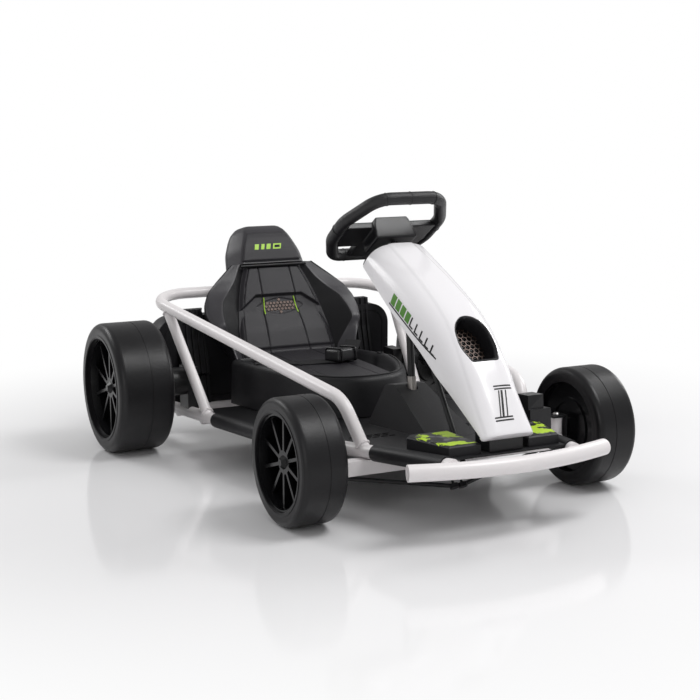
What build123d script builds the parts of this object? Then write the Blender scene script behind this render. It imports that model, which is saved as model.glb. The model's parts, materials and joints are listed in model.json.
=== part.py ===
from build123d import *
import math
import os

os.makedirs("parts", exist_ok=True)

# A child's electric drift kart. Millimetres and degrees.
# Modelling frame: X across (driver's left is +X), forward is -Y, Z up from the ground,
# with y = 0 at the front axle. At the end every node is moved along Y, so that the
# origin is on the ground under the middle of the kart.

# Wheels
wheelbase = 655.0
cut_reach = 300.0
tyre_gap = 0.3
rim_barrel_t = 7.0
rim_lip_t = 4.0
rim_lip_depth = 16.0
rim_disc_t = 3.0
rim_disc_inset = 10.0
rim_boss_r = 17.0
rim_boss_inset = 2.0
rim_step_t = 5.0
spoke_count = 10
spoke_w = 6.0
spoke_t = 6.0
spoke_depth = 13.0
hub_r = 21.0
hub_depth = 10.0
hub_t = 6.0
hub_core_r = 15.0
cap_r = 13.0
cap_h = 7.0
cap_sides = 8
parting_groove_w = 1.6
parting_groove_depth = 0.7
parting_place = 0.57
sidewall_ring_w = 4.0
sidewall_ring_h = 1.0
axle_r = 5.0
axle_play = 0.15
axle_end_depth = 15.0

# end, tyre radius, tyre width, outer face from the middle, rim radius, shoulder radius, recess of the rim
wheel_sizes = {
    "front": (0.0, 113.0, 86.0, 345.0, 86.0, 12.0, 4.0),
    "rear": (wheelbase, 135.0, 118.0, 446.0, 104.0, 15.0, 10.0),
}

# Tubes of the frame
rail_r = 12.5
side_tube_r = 12.0
strut_r = 11.0
cross_tube_r = 12.0
bumper_r = 14.7
bumper_bore_r = 12.7

# Deck: the lower rails and the tray lie on a plane that falls towards the back
deck_height = 115.0
deck_angle = 4.2
rail_rear_x = 255.0
rail_overhang = 77.0
rail_rear_y = wheelbase + rail_overhang
rail_mid_x = 247.0
rail_mid_y = 280.0
rail_beam_x = 174.0
rail_beam_y = 2.0
rail_nose_x = 118.0
rail_bend_r = 160.0
cross_tube_ahead = 80.0
cross_tube_y = wheelbase - cross_tube_ahead

# Hoop: one bent tube, from the foot at the front up along the side and round behind the seat
hoop_foot_x = 172.0
hoop_foot_y = 0.0
hoop_knee = (190.0, 54.0, 201.0)
hoop_knee_r = 62.0
hoop_overhang = 160.0
hoop_corner = (288.0, wheelbase + hoop_overhang, 300.0)
hoop_corner_r = 85.0
strut_top_behind = 61.0
strut_foot_ahead = 115.0
strut_top_y = wheelbase + strut_top_behind
strut_foot_x = 252.0
strut_foot_y = wheelbase - strut_foot_ahead

# Bumper
bumper_y = -235.0
bumper_z = 124.0
bumper_half = 201.0
bumper_sweep = 40.0
bumper_bow_share = 0.62
bumper_end_straight = 36.0

# Front beam, kingpins and knuckles
kingpin_x = 240.0
kingpin_tube_r = 11.0
kingpin_tube_bottom = 77.0
kingpin_tube_top = 134.0
kingpin_bolt_r = 4.0
kingpin_head_r = 7.0
kingpin_head_h = 4.0
kingpin_head_bevel = 2.4
kingpin_tail = 4.0
beam_top = 103.0
beam_depth = 25.0
beam_y = -8.0
bracket_t = 4.0
bracket_gap = 0.6
bracket_w = 30.0
bracket_depth = 26.0
web_x = 252.6
web_t = 3.6
steer_arm_reach = 38.5
steer_arm_offset = 8.0
steer_arm_w = 16.0
tie_eye_r = 8.5
tie_eye_t = 8.0
tie_rod_r = 4.0
tie_pin_r = 2.5
tie_pin_tail = 3.0
tie_pin_gap = 0.4
tie_nut_r = 5.0
tie_nut_t = 4.0

# Steering: a straight shaft that leans back to the driver
shaft_tilt = 35.0
shaft_r = 5.0
shaft_clear = 5.0
shaft_length = 514.0
shaft_head = 4.0
wheel_centre_y = 230.0
wheel_centre_z = 488.0
grip_r = 12.0
pitman_pin_offset = 9.0
pitman_hole_play = 3.0
pitman_t = 4.0
pitman_top_half = 10.0
pitman_foot_half = 20.0
pitman_overhang = 10.0
tie_axial_gap = 3.0
bearing_back = 138.0
bearing_r = 11.0
bearing_length = 34.0

# Steering wheel: the grip's centre line, as the corners of its left half from the far side to the driver's
# x across, y towards the driver, radius of the corner
grip_corners = [(66.0, -102.0, 45.0), (105.0, -22.0, 60.0), (103.0, 42.0, 50.0), (76.0, 106.0, 26.0)]
wheel_hub_far = -21.0
wheel_hub_near = 40.0
# Half width of the hub and its height over the plane of the grip
wheel_hub_rows = [(44.0, -36.0), (40.0, -5.0), (35.0, 9.0)]
wheel_hub_round = 5.0
wheel_spoke_far = -13.0
wheel_spoke_near = 57.0
wheel_spoke_t = 14.0
wheel_spoke_drop = 3.0
wheel_web_half = 46.0

# Post and collar on the hump
post_r = 7.0
post_y = 133.0
post_z = 195.0
post_lean = 6.0
post_sink = 30.0
post_fit = 0.1
collar_r = 8.4
collar_top = 211.0
collar_cut_gap = 2.6
stay_half = 13.0
stay_slot_half = 8.5
stay_front = 135.0
stay_back = 165.0
stay_foot_z = 370.0
stay_bridge_z = 434.0
stay_gap = 0.7

# Tray, hump and foot rests, in the deck plane's own y and height
tray_top = 9.0
tray_t = 3.0
tray_rear_ahead = 55.0
tray_rear = wheelbase - tray_rear_ahead
tray_tube_gap = 1.0
sleeve_r = 15.3
seat_gap = 0.3
window_front = -32.0
window_rear = 62.0
sleeve_rear_ahead = 157.0
sleeve_rear = wheelbase - sleeve_rear_ahead
sleeve_front = -204.0
hump_front = -16.0
hump_rear = 216.0
hump_half_foot = 50.0
hump_half_top = 32.0
hump_peak_y = 150.0
hump_peak_front = 14.0
hump_peak_back = 22.0
hump_peak_h = 91.0
hump_peak_drop = 2.0
hump_round = 12.0
heel_rows = 3
heel_columns = 5
heel_pitch_y = 13.0
heel_pitch_x = 17.0
heel_x = 80.0
heel_y = 66.0
heel_w = 12.0
heel_d = 4.0
heel_h = 1.2
rest_inner = 48.0
rest_outer_front = 112.0
rest_outer_back = 138.0
rest_front = -188.0
rest_back = -78.0
rest_front_h = 18.0
rest_back_h = 26.0
rest_corner = 12.0
rest_chamfer = 3.0
pedal_box_x0 = 132.0
pedal_box_x1 = 178.0
pedal_step_x = 166.0
pedal_box_front = -72.0
pedal_box_back = -30.0
pedal_step_front = -66.0
pedal_low_h = 42.0
pedal_high_h = 68.0
pedal_w = 44.0
pedal_t = 6.0
pedal_foot = 4.0
pedal_h = 38.0

# Seat, in its own plane: v up along the back from the crease, d forward of the pad's face
seat_lean = 27.2
seat_joint_behind = 23.0
seat_joint_y = wheelbase + seat_joint_behind
seat_joint_z = 183.0
pad_t = 12.0
wing_t = 15.0
wing_slope = 32.0
shell_back_chamfer = 16.0
# v, half width, depth of the wings in front, depth of the back behind
seat_rows = [
    (-62, 138, 52, 30),
    (0, 150, 48, 34),
    (60, 184, 40, 42),
    (110, 190, 28, 46),
    (160, 168, 12, 49),
    (203, 104, 5, 58),
]
pad_foot_v = -62.0
pad_foot_half = 86.0
pad_mid_v = 90.0
pad_mid_half = 82.0
pad_top_v = 195.0
pad_top_half = 68.0
# v, half width, front, back and the bevel beside the front panel
headrest_rows = [
    (203, 104, 10, 58, 22),
    (240, 98, 16, 62, 24),
    (274, 84, 13, 62, 24),
    (292, 74, 2, 52, 22),
    (299, 60, -8, 42, 18),
]
headrest_shoulder = -10.0
headrest_back_bevel = 16.0
saddle_x = 70.0
saddle_w = 20.0
saddle_v = 166.6
saddle_h = 18.0
saddle_front = 40.0
saddle_back = 68.0

# Seat base and cushion, in the deck plane's own y and height
base_top = 110.0
base_mid = 62.0
base_half = 158.0
base_front = 280.0
base_front_half = 52.0
base_corner_ahead = 253.0
base_rear_ahead = 38.0
base_corner_y = seat_joint_y - base_corner_ahead
base_rear = seat_joint_y - base_rear_ahead
base_taper = 4.0
base_corner_r = 60.0
scoop_half = 96.0
scoop_top_half = 136.0
scoop_over = 10.0
tunnel_half = 90.0
tunnel_front = 330.0
tunnel_roof_t = 14.0
cushion_half = 88.0
cushion_front = 300.0
cushion_rear_behind = 12.0
cushion_rear = seat_joint_y + cushion_rear_behind
cushion_front_h = 14.0
cushion_rear_h = 46.0

# Lap belt: thickness and width, and the buckle
belt_t = 2.5
belt_w = 36.0
buckle_w = 44.0
buckle_l = 56.0
buckle_t = 20.0
buckle_round = 6.0
buckle_x = 44.0
buckle_ahead = 170.0
buckle_turn = 20.0
# x and distance ahead of the seat's crease of each corner of the two straps
belt_near = [(-86.0, 130.0), (-40.0, 158.0), (30.0, 173.0)]
belt_far = [(58.0, 166.0), (86.0, 138.0)]

# Drive: axle plates on the rails, housings beside the seat and the box behind it
carrier_x0 = 238.0
carrier_x1 = 262.0
carrier_half = 24.0
carrier_foot_z = 67.0
carrier_top_z = 166.0
drum_r = 30.0
drum_x = 300.0
pod_inner_x = 172.0
pod_foot_z = 60.0
pod_top_z = 271.0
# The side view of the housing beside the seat: y behind the rear axle and height, up its front
pod_profile = [(62.0, pod_foot_z), (80.0, 126.0), (72.0, 132.0), (92.0, 207.0), (100.0, pod_top_z)]
pod_depth = 120.0
pod_rib_count = 5
pod_rib_w = 4.0
pod_rib_d = 5.0
box_half = 288.0
box_front_behind = 93.0
box_depth = 52.0
box_top_z = 256.0
box_corner_r = 47.0
box_foot_r = 14.0
box_line_inset = 15.0
box_line_w = 4.0
box_line_d = 2.0

# Fairing
fairing_wall = 3.0
fairing_crown = 0.20
fairing_flank = 0.52
# crest y, crest z, slope, half width and depth of each section, from the wheel to the nose
fairing_rows = [
    (172, 463, 25, 80, 38),
    (60, 418, 27, 86, 52),
    (-45, 358, 38, 84, 52),
    (-112, 292, 47, 79, 48),
    (-160, 235, 51, 67, 34),
    (-205, 171, 55, 50, 15),
]
tip_lip_row = (-206.0, 161.0, 55.0, 43.0, 9.0)
top_trim_out = 12.0
top_trim_inset = 5.0
top_trim_in = 6.0
intake_y = -103.0
intake_z = 275.0
intake_lean = 25.0
intake_half = 27.0
intake_height = 83.0
intake_duct = 60.0
intake_frame_t = 4.0
intake_frame_back = 8.0
intake_frame_depth = 11.0
grille_back = 6.0
grille_t = 3.0
cell_pitch = 9.0
cell_wall = 1.2
cell_rows = 10
cell_columns = 7
nose_half = 34.0
nose_front = -192.0
nose_back = -146.0
nose_top = 50.0

pieces = {}


def deck(shape):
    """Place a shape, drawn with the deck flat at z = 0, on the sloping deck."""
    return Location((0, 0, deck_height)) * Rot(X=-deck_angle) * shape


def deck_point(x, y, h):
    """The point at x, y along the deck and h above its plane."""
    a = math.radians(deck_angle)
    return (x, y * math.cos(a) + h * math.sin(a), deck_height - y * math.sin(a) + h * math.cos(a))


def mirrored(point, sx):
    return (sx * point[0], point[1], point[2])


def swept(path, radius):
    """A round bar along a path of lines and arcs."""
    return sweep(Plane(origin=path @ 0, z_dir=path % 0) * Circle(radius), path=path)


def rod(start, end, radius):
    """A round bar between two points."""
    axis = Vector(*end) - Vector(*start)
    return extrude(Plane(origin=start, z_dir=axis.normalized()) * Circle(radius), axis.length)


def block(x0, x1, y0, y1, z0, z1):
    """A box from its two corners."""
    size = Box(abs(x1 - x0), abs(y1 - y0), abs(z1 - z0))
    return Pos((x0 + x1) / 2, (y0 + y1) / 2, (z0 + z1) / 2) * size


def polygon(points):
    return make_face(Polyline(*points, close=True))


def profile(points, half):
    """A side view in y and z, thickened to both sides of the middle plane."""
    return extrude(Plane.YZ * polygon(points), half, both=True)


def side_name(sx):
    return "left" if sx > 0 else "right"


# Lower frame


def rail_path(sx):
    points = [
        deck_point(sx * rail_rear_x, rail_rear_y, 0),
        deck_point(sx * rail_mid_x, rail_mid_y, 0),
        deck_point(sx * rail_beam_x, rail_beam_y, 0),
        deck_point(sx * rail_nose_x, bumper_y, 0),
    ]
    return FilletPolyline(*points, radius=rail_bend_r)


def bumper_path():
    arc_x = bumper_half - bumper_end_straight
    arc_y = bumper_y + bumper_sweep * bumper_bow_share
    right = Vector(-arc_x, arc_y, bumper_z)
    left = Vector(arc_x, arc_y, bumper_z)
    arc = ThreePointArc(right, (0, bumper_y, bumper_z), left)
    first = Line(right - (arc % 0) * bumper_end_straight, right)
    last = Line(left, left + (arc % 1) * bumper_end_straight)
    return Wire([first.edge(), arc.edge(), last.edge()])


bumper_line = bumper_path()
bumper_solid = swept(bumper_line, bumper_r)
rails_full = {sx: swept(rail_path(sx), rail_r) for sx in (1, -1)}
both_rails = rails_full[1] + rails_full[-1]

cross_drop = tray_top - tray_t - cross_tube_r - seat_gap
cross_full = []
for y in (cross_tube_y, rail_rear_y - rail_r):
    cross_start = deck_point(-rail_rear_x, y, cross_drop)
    cross_end = deck_point(rail_rear_x, y, cross_drop)
    cross_full.append(rod(cross_start, cross_end, cross_tube_r))

front_beam = block(-kingpin_x, kingpin_x, beam_y - beam_depth / 2, beam_y + beam_depth / 2,
                   kingpin_tube_bottom, beam_top)
for sx in (1, -1):
    tube_foot = (sx * kingpin_x, 0, kingpin_tube_bottom)
    tube_head = (sx * kingpin_x, 0, kingpin_tube_top)
    front_beam += rod(tube_foot, tube_head, kingpin_tube_r)
    front_beam -= rod(tube_foot, tube_head, kingpin_bolt_r + axle_play)
front_beam -= both_rails

pieces["bumper_tube"] = bumper_solid - swept(bumper_line, bumper_bore_r)
pieces["lower_rail_left"] = rails_full[1] - bumper_solid
pieces["lower_rail_right"] = rails_full[-1] - bumper_solid
pieces["rear_cross_tubes"] = [tube - both_rails for tube in cross_full]
pieces["front_beam"] = front_beam

# Hoop and its struts


def hoop_path():
    foot = deck_point(hoop_foot_x, hoop_foot_y, 0)
    left = [hoop_corner, hoop_knee, foot]
    right = [mirrored(point, -1) for point in reversed(left)]
    return FilletPolyline(*right, *left, radius=[hoop_knee_r, hoop_corner_r, hoop_corner_r, hoop_knee_r])


def strut_bar(sx, radius):
    """The bar from the rail up to the straight side of the hoop."""
    t = (strut_top_y - hoop_knee[1]) / (hoop_corner[1] - hoop_knee[1])
    top = [a + t * (b - a) for a, b in zip(hoop_knee, hoop_corner)]
    return rod(deck_point(sx * strut_foot_x, strut_foot_y, 0), mirrored(top, sx), radius)


hoop_full = swept(hoop_path(), side_tube_r)
pieces["hoop_tube"] = hoop_full - both_rails
pieces["hoop_struts"] = [strut_bar(sx, strut_r) - hoop_full - both_rails for sx in (1, -1)]

# Steering axis and the post that carries its bearing

tilt = math.radians(shaft_tilt)
shaft_dir = Vector(0, math.sin(tilt), math.cos(tilt))
wheel_centre = Vector(0, wheel_centre_y, wheel_centre_z)


def on_shaft(back):
    """A point of the steering axis, a distance down from the centre of the wheel."""
    return wheel_centre - shaft_dir * back


def around_shaft(back, ahead, radius):
    """A round bar on the steering axis between two distances from the wheel."""
    return rod(on_shaft(back), on_shaft(ahead), radius)


def on_post(z):
    return (0, post_y + (z - post_z) * math.tan(math.radians(post_lean)), z)


post_foot_z = deck_point(0, post_y, tray_top)[2]
shaft_hole = around_shaft(shaft_length, 0, shaft_r + shaft_clear)

# Tray with its rolled edges round the rails

tray_outline = [
    (-rail_mid_x, tray_rear), (-rail_mid_x, rail_mid_y), (-rail_beam_x, rail_beam_y),
    (-rail_nose_x, sleeve_front), (rail_nose_x, sleeve_front), (rail_beam_x, rail_beam_y),
    (rail_mid_x, rail_mid_y), (rail_mid_x, tray_rear),
]
tray = deck(Pos(0, 0, tray_top - tray_t) * extrude(polygon(tray_outline), tray_t))
sleeve_span = 2 * rail_rear_x
sleeve_keep = deck(block(-sleeve_span, sleeve_span, window_rear, sleeve_rear, -2 * sleeve_r, 2 * sleeve_r))
sleeve_keep += deck(block(-sleeve_span, sleeve_span, sleeve_front, window_front, -2 * sleeve_r, 2 * sleeve_r))
sleeves = {sx: swept(rail_path(sx), sleeve_r) for sx in (1, -1)}
for sx in (1, -1):
    tray += sleeves[sx] & sleeve_keep
for sx in (1, -1):
    tray -= swept(rail_path(sx), rail_r + seat_gap)
    tray -= strut_bar(sx, strut_r + tray_tube_gap)
tray -= swept(hoop_path(), side_tube_r + tray_tube_gap)
tray -= swept(bumper_line, bumper_r + seat_gap)
tray -= shaft_hole
for sx in (1, -1):
    for row in range(heel_rows):
        for column in range(heel_columns):
            x = sx * (heel_x + column * heel_pitch_x + (row % 2) * heel_pitch_x / 2)
            tray += deck(Pos(x, heel_y + row * heel_pitch_y, tray_top) * Box(
                heel_w, heel_d, heel_h, align=(Align.CENTER, Align.CENTER, Align.MIN)))
pieces["floor_tray"] = tray

# Hump, a wedge that carries the collar

hump_block = profile([
    (hump_front, tray_top), (hump_peak_y - hump_peak_front, hump_peak_h),
    (hump_peak_y + hump_peak_back, hump_peak_h - hump_peak_drop), (hump_rear, tray_top)], hump_half_foot)
ridge = hump_block.edges().filter_by(Axis.X).sort_by(Axis.Z)[-2:]
hump_block = fillet(ridge, hump_round)
side_lean = math.degrees(math.atan((hump_half_foot - hump_half_top) / (hump_peak_h - tray_top)))
for sx in (1, -1):
    side_cut = block(0, sx * hump_half_foot, -cut_reach, cut_reach, -hump_peak_h, 2 * hump_peak_h)
    hump_block -= Pos(sx * hump_half_foot, 0, tray_top) * Rot(Y=-sx * side_lean) * side_cut
hump = deck(hump_block) - shaft_hole
hump -= rod(on_post(post_foot_z - collar_r), on_post(collar_top), collar_r + collar_cut_gap)
pieces["steering_hump"] = hump

collar = rod(on_post(post_foot_z - collar_r), on_post(collar_top), collar_r)
collar -= rod(on_post(post_foot_z - cut_reach), on_post(collar_top + cut_reach), post_r + post_fit)
collar -= deck(block(-hump_half_foot, hump_half_foot, 0, cut_reach, tray_top - cut_reach, tray_top))
pieces["post_collar"] = collar

# Fairing: a shell of arched sections, open below, with a thicker lip at the tip


def fairing_points(row, inset):
    """The plane of a section, with its crest, shoulder, flank and foot on the +X side."""
    y, z, slope, half, depth = row
    a = math.radians(slope)
    plane = Plane(origin=(0, y, z), x_dir=(-1, 0, 0), z_dir=(0, -math.cos(a), -math.sin(a)))
    up = 1 if plane.y_dir.Z > 0 else -1
    w = half - inset
    crest = (0, -up * inset)
    shoulder = (0.62 * w, -up * (inset + fairing_crown * depth))
    flank = (0.88 * w, -up * (inset * 0.6 + fairing_flank * depth))
    foot = (w, -up * depth)
    return plane, crest, shoulder, flank, foot


def flipped(point):
    return (-point[0], point[1])


def arch_edges(crest, shoulder, flank, foot):
    return [
        ThreePointArc(flipped(foot), flipped(flank), flipped(shoulder)),
        ThreePointArc(flipped(shoulder), crest, shoulder),
        ThreePointArc(shoulder, flank, foot),
    ]


def fairing_wall_face(row):
    plane, *outer = fairing_points(row, 0)
    _, *inner = fairing_points(row, fairing_wall)
    edges = arch_edges(*outer) + [Line(outer[3], inner[3])] + arch_edges(*inner)
    edges.append(Line(flipped(inner[3]), flipped(outer[3])))
    return plane * make_face([part.edge() for part in edges])


def fairing_core_face(row, inset):
    """The section filled in."""
    plane, *points = fairing_points(row, inset)
    edges = arch_edges(*points) + [Line(flipped(points[3]), points[3])]
    return plane * make_face([part.edge() for part in edges])


fairing = loft([fairing_wall_face(row) for row in fairing_rows])
fairing += loft([fairing_core_face(fairing_rows[-1], 0), fairing_core_face(tip_lip_row, 0)])
fairing_core = loft([fairing_core_face(row, 0) for row in fairing_rows])
fairing_room = loft([fairing_core_face(row, fairing_wall + stay_gap) for row in fairing_rows])

# Intake: an arch with a flat foot, in a plane steeper than the fairing's slope

intake_tilt = math.radians(intake_lean)
intake_plane = Plane(origin=(0, intake_y, intake_z), x_dir=(1, 0, 0),
                     z_dir=(0, -math.cos(intake_tilt), math.sin(intake_tilt)))


def intake_arch(inset):
    """The intake's outline, made smaller all round by the inset."""
    half = intake_half - inset
    top = intake_height - inset
    edges = [
        Line((half, inset), (half, top - half)),
        ThreePointArc((half, top - half), (0, top), (-half, top - half)),
        Line((-half, top - half), (-half, inset)),
        Line((-half, inset), (half, inset)),
    ]
    return make_face([part.edge() for part in edges])


duct = intake_plane * extrude(intake_arch(-fairing_wall), intake_duct)
opening = intake_plane * Pos(0, 0, -intake_duct) * extrude(intake_arch(0), 3 * intake_duct)
fairing = fairing + (duct & fairing_core) - opening
frame_face = intake_arch(seat_gap) - intake_arch(intake_frame_t)
grille_inset = intake_frame_t + seat_gap
grille = intake_arch(grille_inset)
for row in range(cell_rows):
    for column in range(cell_columns):
        x = cell_pitch * (column - cell_columns // 2 + 0.5 * (row % 2))
        y = grille_inset + cell_pitch * (0.6 + row * math.sqrt(3) / 2)
        side_room = intake_half - grille_inset - cell_pitch / 2
        top_room = intake_height - grille_inset - cell_pitch / 2 - abs(x) * 0.4
        if abs(x) < side_room and y < top_room:
            grille -= Pos(x, y) * RegularPolygon(
                cell_pitch / math.sqrt(3) - cell_wall, 6, rotation=30)
pieces["intake_frame"] = intake_plane * Pos(0, 0, -intake_frame_back) * extrude(frame_face, intake_frame_depth)
pieces["intake_grille"] = intake_plane * Pos(0, 0, -grille_back) * extrude(grille, grille_t)

# The block that carries the fairing's tip, and the trim at its top end

nose_column = deck(block(-nose_half, nose_half, nose_front, nose_back, tray_top, nose_top))
pieces["fairing"] = fairing
pieces["nose_block"] = nose_column - fairing

top_row = fairing_rows[0]
top_slope = math.radians(top_row[2])


def beyond_top(distance, drop):
    """The top section's row, moved along the slope towards the driver and sunk."""
    y = top_row[0] + distance * math.cos(top_slope) + drop * math.sin(top_slope)
    z = top_row[1] + distance * math.sin(top_slope) - drop * math.cos(top_slope)
    return (y, z, top_row[2], top_row[3], top_row[4] - drop)


trim = loft([
    fairing_core_face(beyond_top(-top_trim_in, 0), fairing_wall + seat_gap),
    fairing_core_face(beyond_top(top_trim_out, 0), fairing_wall + top_trim_inset),
])
pieces["fairing_trim"] = trim - shaft_hole - fairing

bearing_half = bearing_length / 2
bearing_mid = on_shaft(bearing_back)
bearing = around_shaft(bearing_back + bearing_half, bearing_back - bearing_half, bearing_r)
stay = block(-stay_half, stay_half, stay_front, stay_back, stay_bridge_z, top_row[1]) & fairing_room
for sx in (1, -1):
    stay += block(sx * stay_slot_half, sx * stay_half, stay_front, stay_back, stay_foot_z, stay_bridge_z)
post = rod(on_post(post_foot_z + post_sink), on_post(bearing_mid.Z), post_r) + bearing + stay
post -= around_shaft(bearing_back + bearing_length, bearing_back - bearing_length, shaft_r + axle_play)
pieces["steering_post"] = post

# Foot rests and the pedal

rest_top = Plane(origin=(0, rest_front, tray_top + rest_front_h), x_dir=(1, 0, 0),
                 z_dir=(0, -(rest_back_h - rest_front_h) / (rest_back - rest_front), 1))
rests = []
for sx in (1, -1):
    outline = polygon([
        (sx * rest_inner, rest_front), (sx * rest_outer_front, rest_front),
        (sx * rest_outer_back, rest_back - rest_corner), (sx * (rest_outer_back - rest_corner), rest_back),
        (sx * rest_inner, rest_back)])
    wedge = Pos(0, 0, tray_top) * extrude(outline, 2 * rest_back_h)
    wedge -= rest_top * Box(2 * cut_reach, 2 * cut_reach, cut_reach, align=(Align.CENTER, Align.CENTER, Align.MIN))
    rests.append(deck(chamfer(wedge.faces().sort_by(Axis.Z)[-1].edges(), rest_chamfer)) - sleeves[sx])
pieces["foot_rests"] = rests

pedal_low = block(pedal_box_x0, pedal_box_x1, pedal_box_front, pedal_box_back, tray_top, tray_top + pedal_low_h)
pedal_high = block(pedal_box_x0, pedal_step_x, pedal_step_front, pedal_box_back, tray_top, tray_top + pedal_high_h)
sleeve_room = swept(rail_path(1), sleeve_r + seat_gap)
hoop_room = swept(hoop_path(), side_tube_r + tray_tube_gap)
pieces["pedal_box"] = deck(pedal_low + pedal_high) - sleeve_room - hoop_room
pieces["pedal"] = deck(block(pedal_box_x0, pedal_box_x0 + pedal_w, pedal_box_back, pedal_box_back + pedal_t,
                             tray_top + pedal_foot, tray_top + pedal_h)) - sleeve_room - hoop_room

# Seat


def seat_point(x, v, d):
    s = math.radians(seat_lean)
    return (x, seat_joint_y + v * math.sin(s) - d * math.cos(s), seat_joint_z + v * math.cos(s) + d * math.sin(s))


def seat_face(v, points):
    """A section across the seat at a height along its back, from x and depth pairs of the +X side."""
    right = [(-x, d) for x, d in reversed(points)]
    return make_face(Polyline(*[seat_point(x, v, d) for x, d in points + right], close=True))


def shell_section(v, half, wing, back):
    return seat_face(v, [
        (half - wing_t - wing_slope, -pad_t), (half - wing_t, wing), (half, wing), (half + 3, 0),
        (half - shell_back_chamfer, -back)])


def hull_section(v, half, wing, back):
    g = seat_gap
    return seat_face(v - (g if v == seat_rows[0][0] else 0), [
        (half + g, wing + g), (half + 3 + g, 0), (half - shell_back_chamfer + g, -back - g)])


def headrest_section(v, half, front, back, bevel):
    return seat_face(v, [
        (half - bevel, front), (half, headrest_shoulder), (half - headrest_back_bevel, -back)])


seat_angle = math.radians(seat_lean)
seat_plane = Plane(origin=seat_point(0, 0, 0), x_dir=(1, 0, 0),
                   z_dir=(0, -math.cos(seat_angle), math.sin(seat_angle)))
shell = loft([shell_section(*row) for row in seat_rows], ruled=True)
shell_hull = loft([hull_section(*row) for row in seat_rows], ruled=True)
pad_outline = polygon([
    (-pad_foot_half, pad_foot_v), (pad_foot_half, pad_foot_v), (pad_mid_half, pad_mid_v), (pad_top_half, pad_top_v),
    (-pad_top_half, pad_top_v), (-pad_mid_half, pad_mid_v)])
back_pad = seat_plane * Pos(0, 0, -pad_t) * extrude(pad_outline, pad_t)
pieces["seat_shell"] = shell
pieces["seat_back_pad"] = back_pad - shell
pieces["headrest"] = loft([headrest_section(*row) for row in headrest_rows], ruled=True)

saddles = []
for sx in (1, -1):
    saddle = seat_plane * block(sx * saddle_x - saddle_w / 2, sx * saddle_x + saddle_w / 2,
                                saddle_v - saddle_h / 2, saddle_v + saddle_h / 2, -saddle_back, -saddle_front)
    saddles.append(saddle - hoop_full - shell)
pieces["seat_saddles"] = saddles

base_outline = make_face(Polyline(
    (-base_half, base_rear), (-base_half, base_corner_y), (-base_front_half, base_front),
    (base_front_half, base_front), (base_half, base_corner_y), (base_half, base_rear), close=True))
bends = base_outline.vertices().group_by(Axis.Y)
base_outline = fillet(bends[0] + bends[1], base_corner_r)
base = Pos(0, 0, tray_top) * extrude(base_outline, base_top - tray_top, taper=base_taper)
scoop = polygon([
    (-scoop_half, base_mid), (scoop_half, base_mid), (scoop_top_half, base_top + scoop_over),
    (-scoop_top_half, base_top + scoop_over)])
base -= extrude(Plane.XZ * scoop, -2 * base_rear)
base -= block(-tunnel_half, tunnel_half, tunnel_front, 2 * base_rear, -base_mid, base_mid - tunnel_roof_t)
pieces["seat_base"] = deck(base) - shell_hull

cushion = profile([
    (cushion_front, base_mid), (cushion_front, base_mid + cushion_front_h / 2),
    (cushion_front + cushion_front_h, base_mid + cushion_front_h),
    (cushion_rear, base_mid + cushion_rear_h), (cushion_rear, base_mid)], cushion_half)
behind_pad = seat_plane * Pos(0, 0, seat_gap) * Box(
    4 * base_half, 4 * base_half, 4 * base_half, align=(Align.CENTER, Align.CENTER, Align.MAX))
pieces["seat_cushion"] = deck(cushion) - behind_pad - shell

# Drive: plates that carry the stub axles, the housings beside the seat and the box behind it

axle_z = wheel_sizes["rear"][1]
carriers = []
axles = []
pod_outer_x = carrier_x0 - seat_gap
pod_back = wheelbase + pod_depth
pods = {}


def sided_pod(sx):
    """The ribbed housing between the seat and the axle plate of one side."""
    front = [(wheelbase + behind, z) for behind, z in pod_profile]
    pod_front = polygon(front + [(pod_back, pod_top_z), (pod_back, pod_foot_z)])
    pod = Pos(pod_inner_x, 0, 0) * extrude(Plane.YZ * pod_front, pod_outer_x - pod_inner_x)
    rib = Plane.YZ * Pos(-pod_rib_d, 0) * pod_front
    pitch = (pod_outer_x - pod_inner_x) / pod_rib_count
    for k in range(pod_rib_count):
        pod += Pos(pod_inner_x + (k + 0.5) * pitch - pod_rib_w / 2, 0, 0) * extrude(rib, pod_rib_w)
    return pod if sx > 0 else mirror(pod, Plane.YZ)


for sx in (1, -1):
    plate = block(sx * carrier_x0, sx * carrier_x1, wheelbase - carrier_half, wheelbase + carrier_half,
                  carrier_foot_z, carrier_top_z)
    drum = rod((sx * carrier_x1, wheelbase, axle_z), (sx * drum_x, wheelbase, axle_z), drum_r)
    axle_end = wheel_sizes["rear"][3] - wheel_sizes["rear"][6] - axle_end_depth
    axle = rod((sx * carrier_x0, wheelbase, axle_z), (sx * axle_end, wheelbase, axle_z), axle_r)
    carriers.append(plate + drum - both_rails - axle)
    axles.append(axle)
    pods[sx] = sided_pod(sx) - cross_full[1] - shell_hull
pieces["axle_carriers"] = carriers
pieces["rear_axles"] = axles
pieces["drive_pod_left"] = pods[1]
pieces["drive_pod_right"] = pods[-1]

box_front = wheelbase + box_front_behind


def box_outline(inset):
    """The box from behind: a rectangle with large upper corners, made smaller all round by the inset."""
    half = box_half - inset
    outline = polygon([(-half, pod_foot_z + inset), (half, pod_foot_z + inset),
                       (half, box_top_z - inset), (-half, box_top_z - inset)])
    outline = fillet(outline.vertices().group_by(Axis.Y)[-1], box_corner_r - inset)
    return fillet(outline.vertices().group_by(Axis.Y)[0], box_foot_r)


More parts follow.
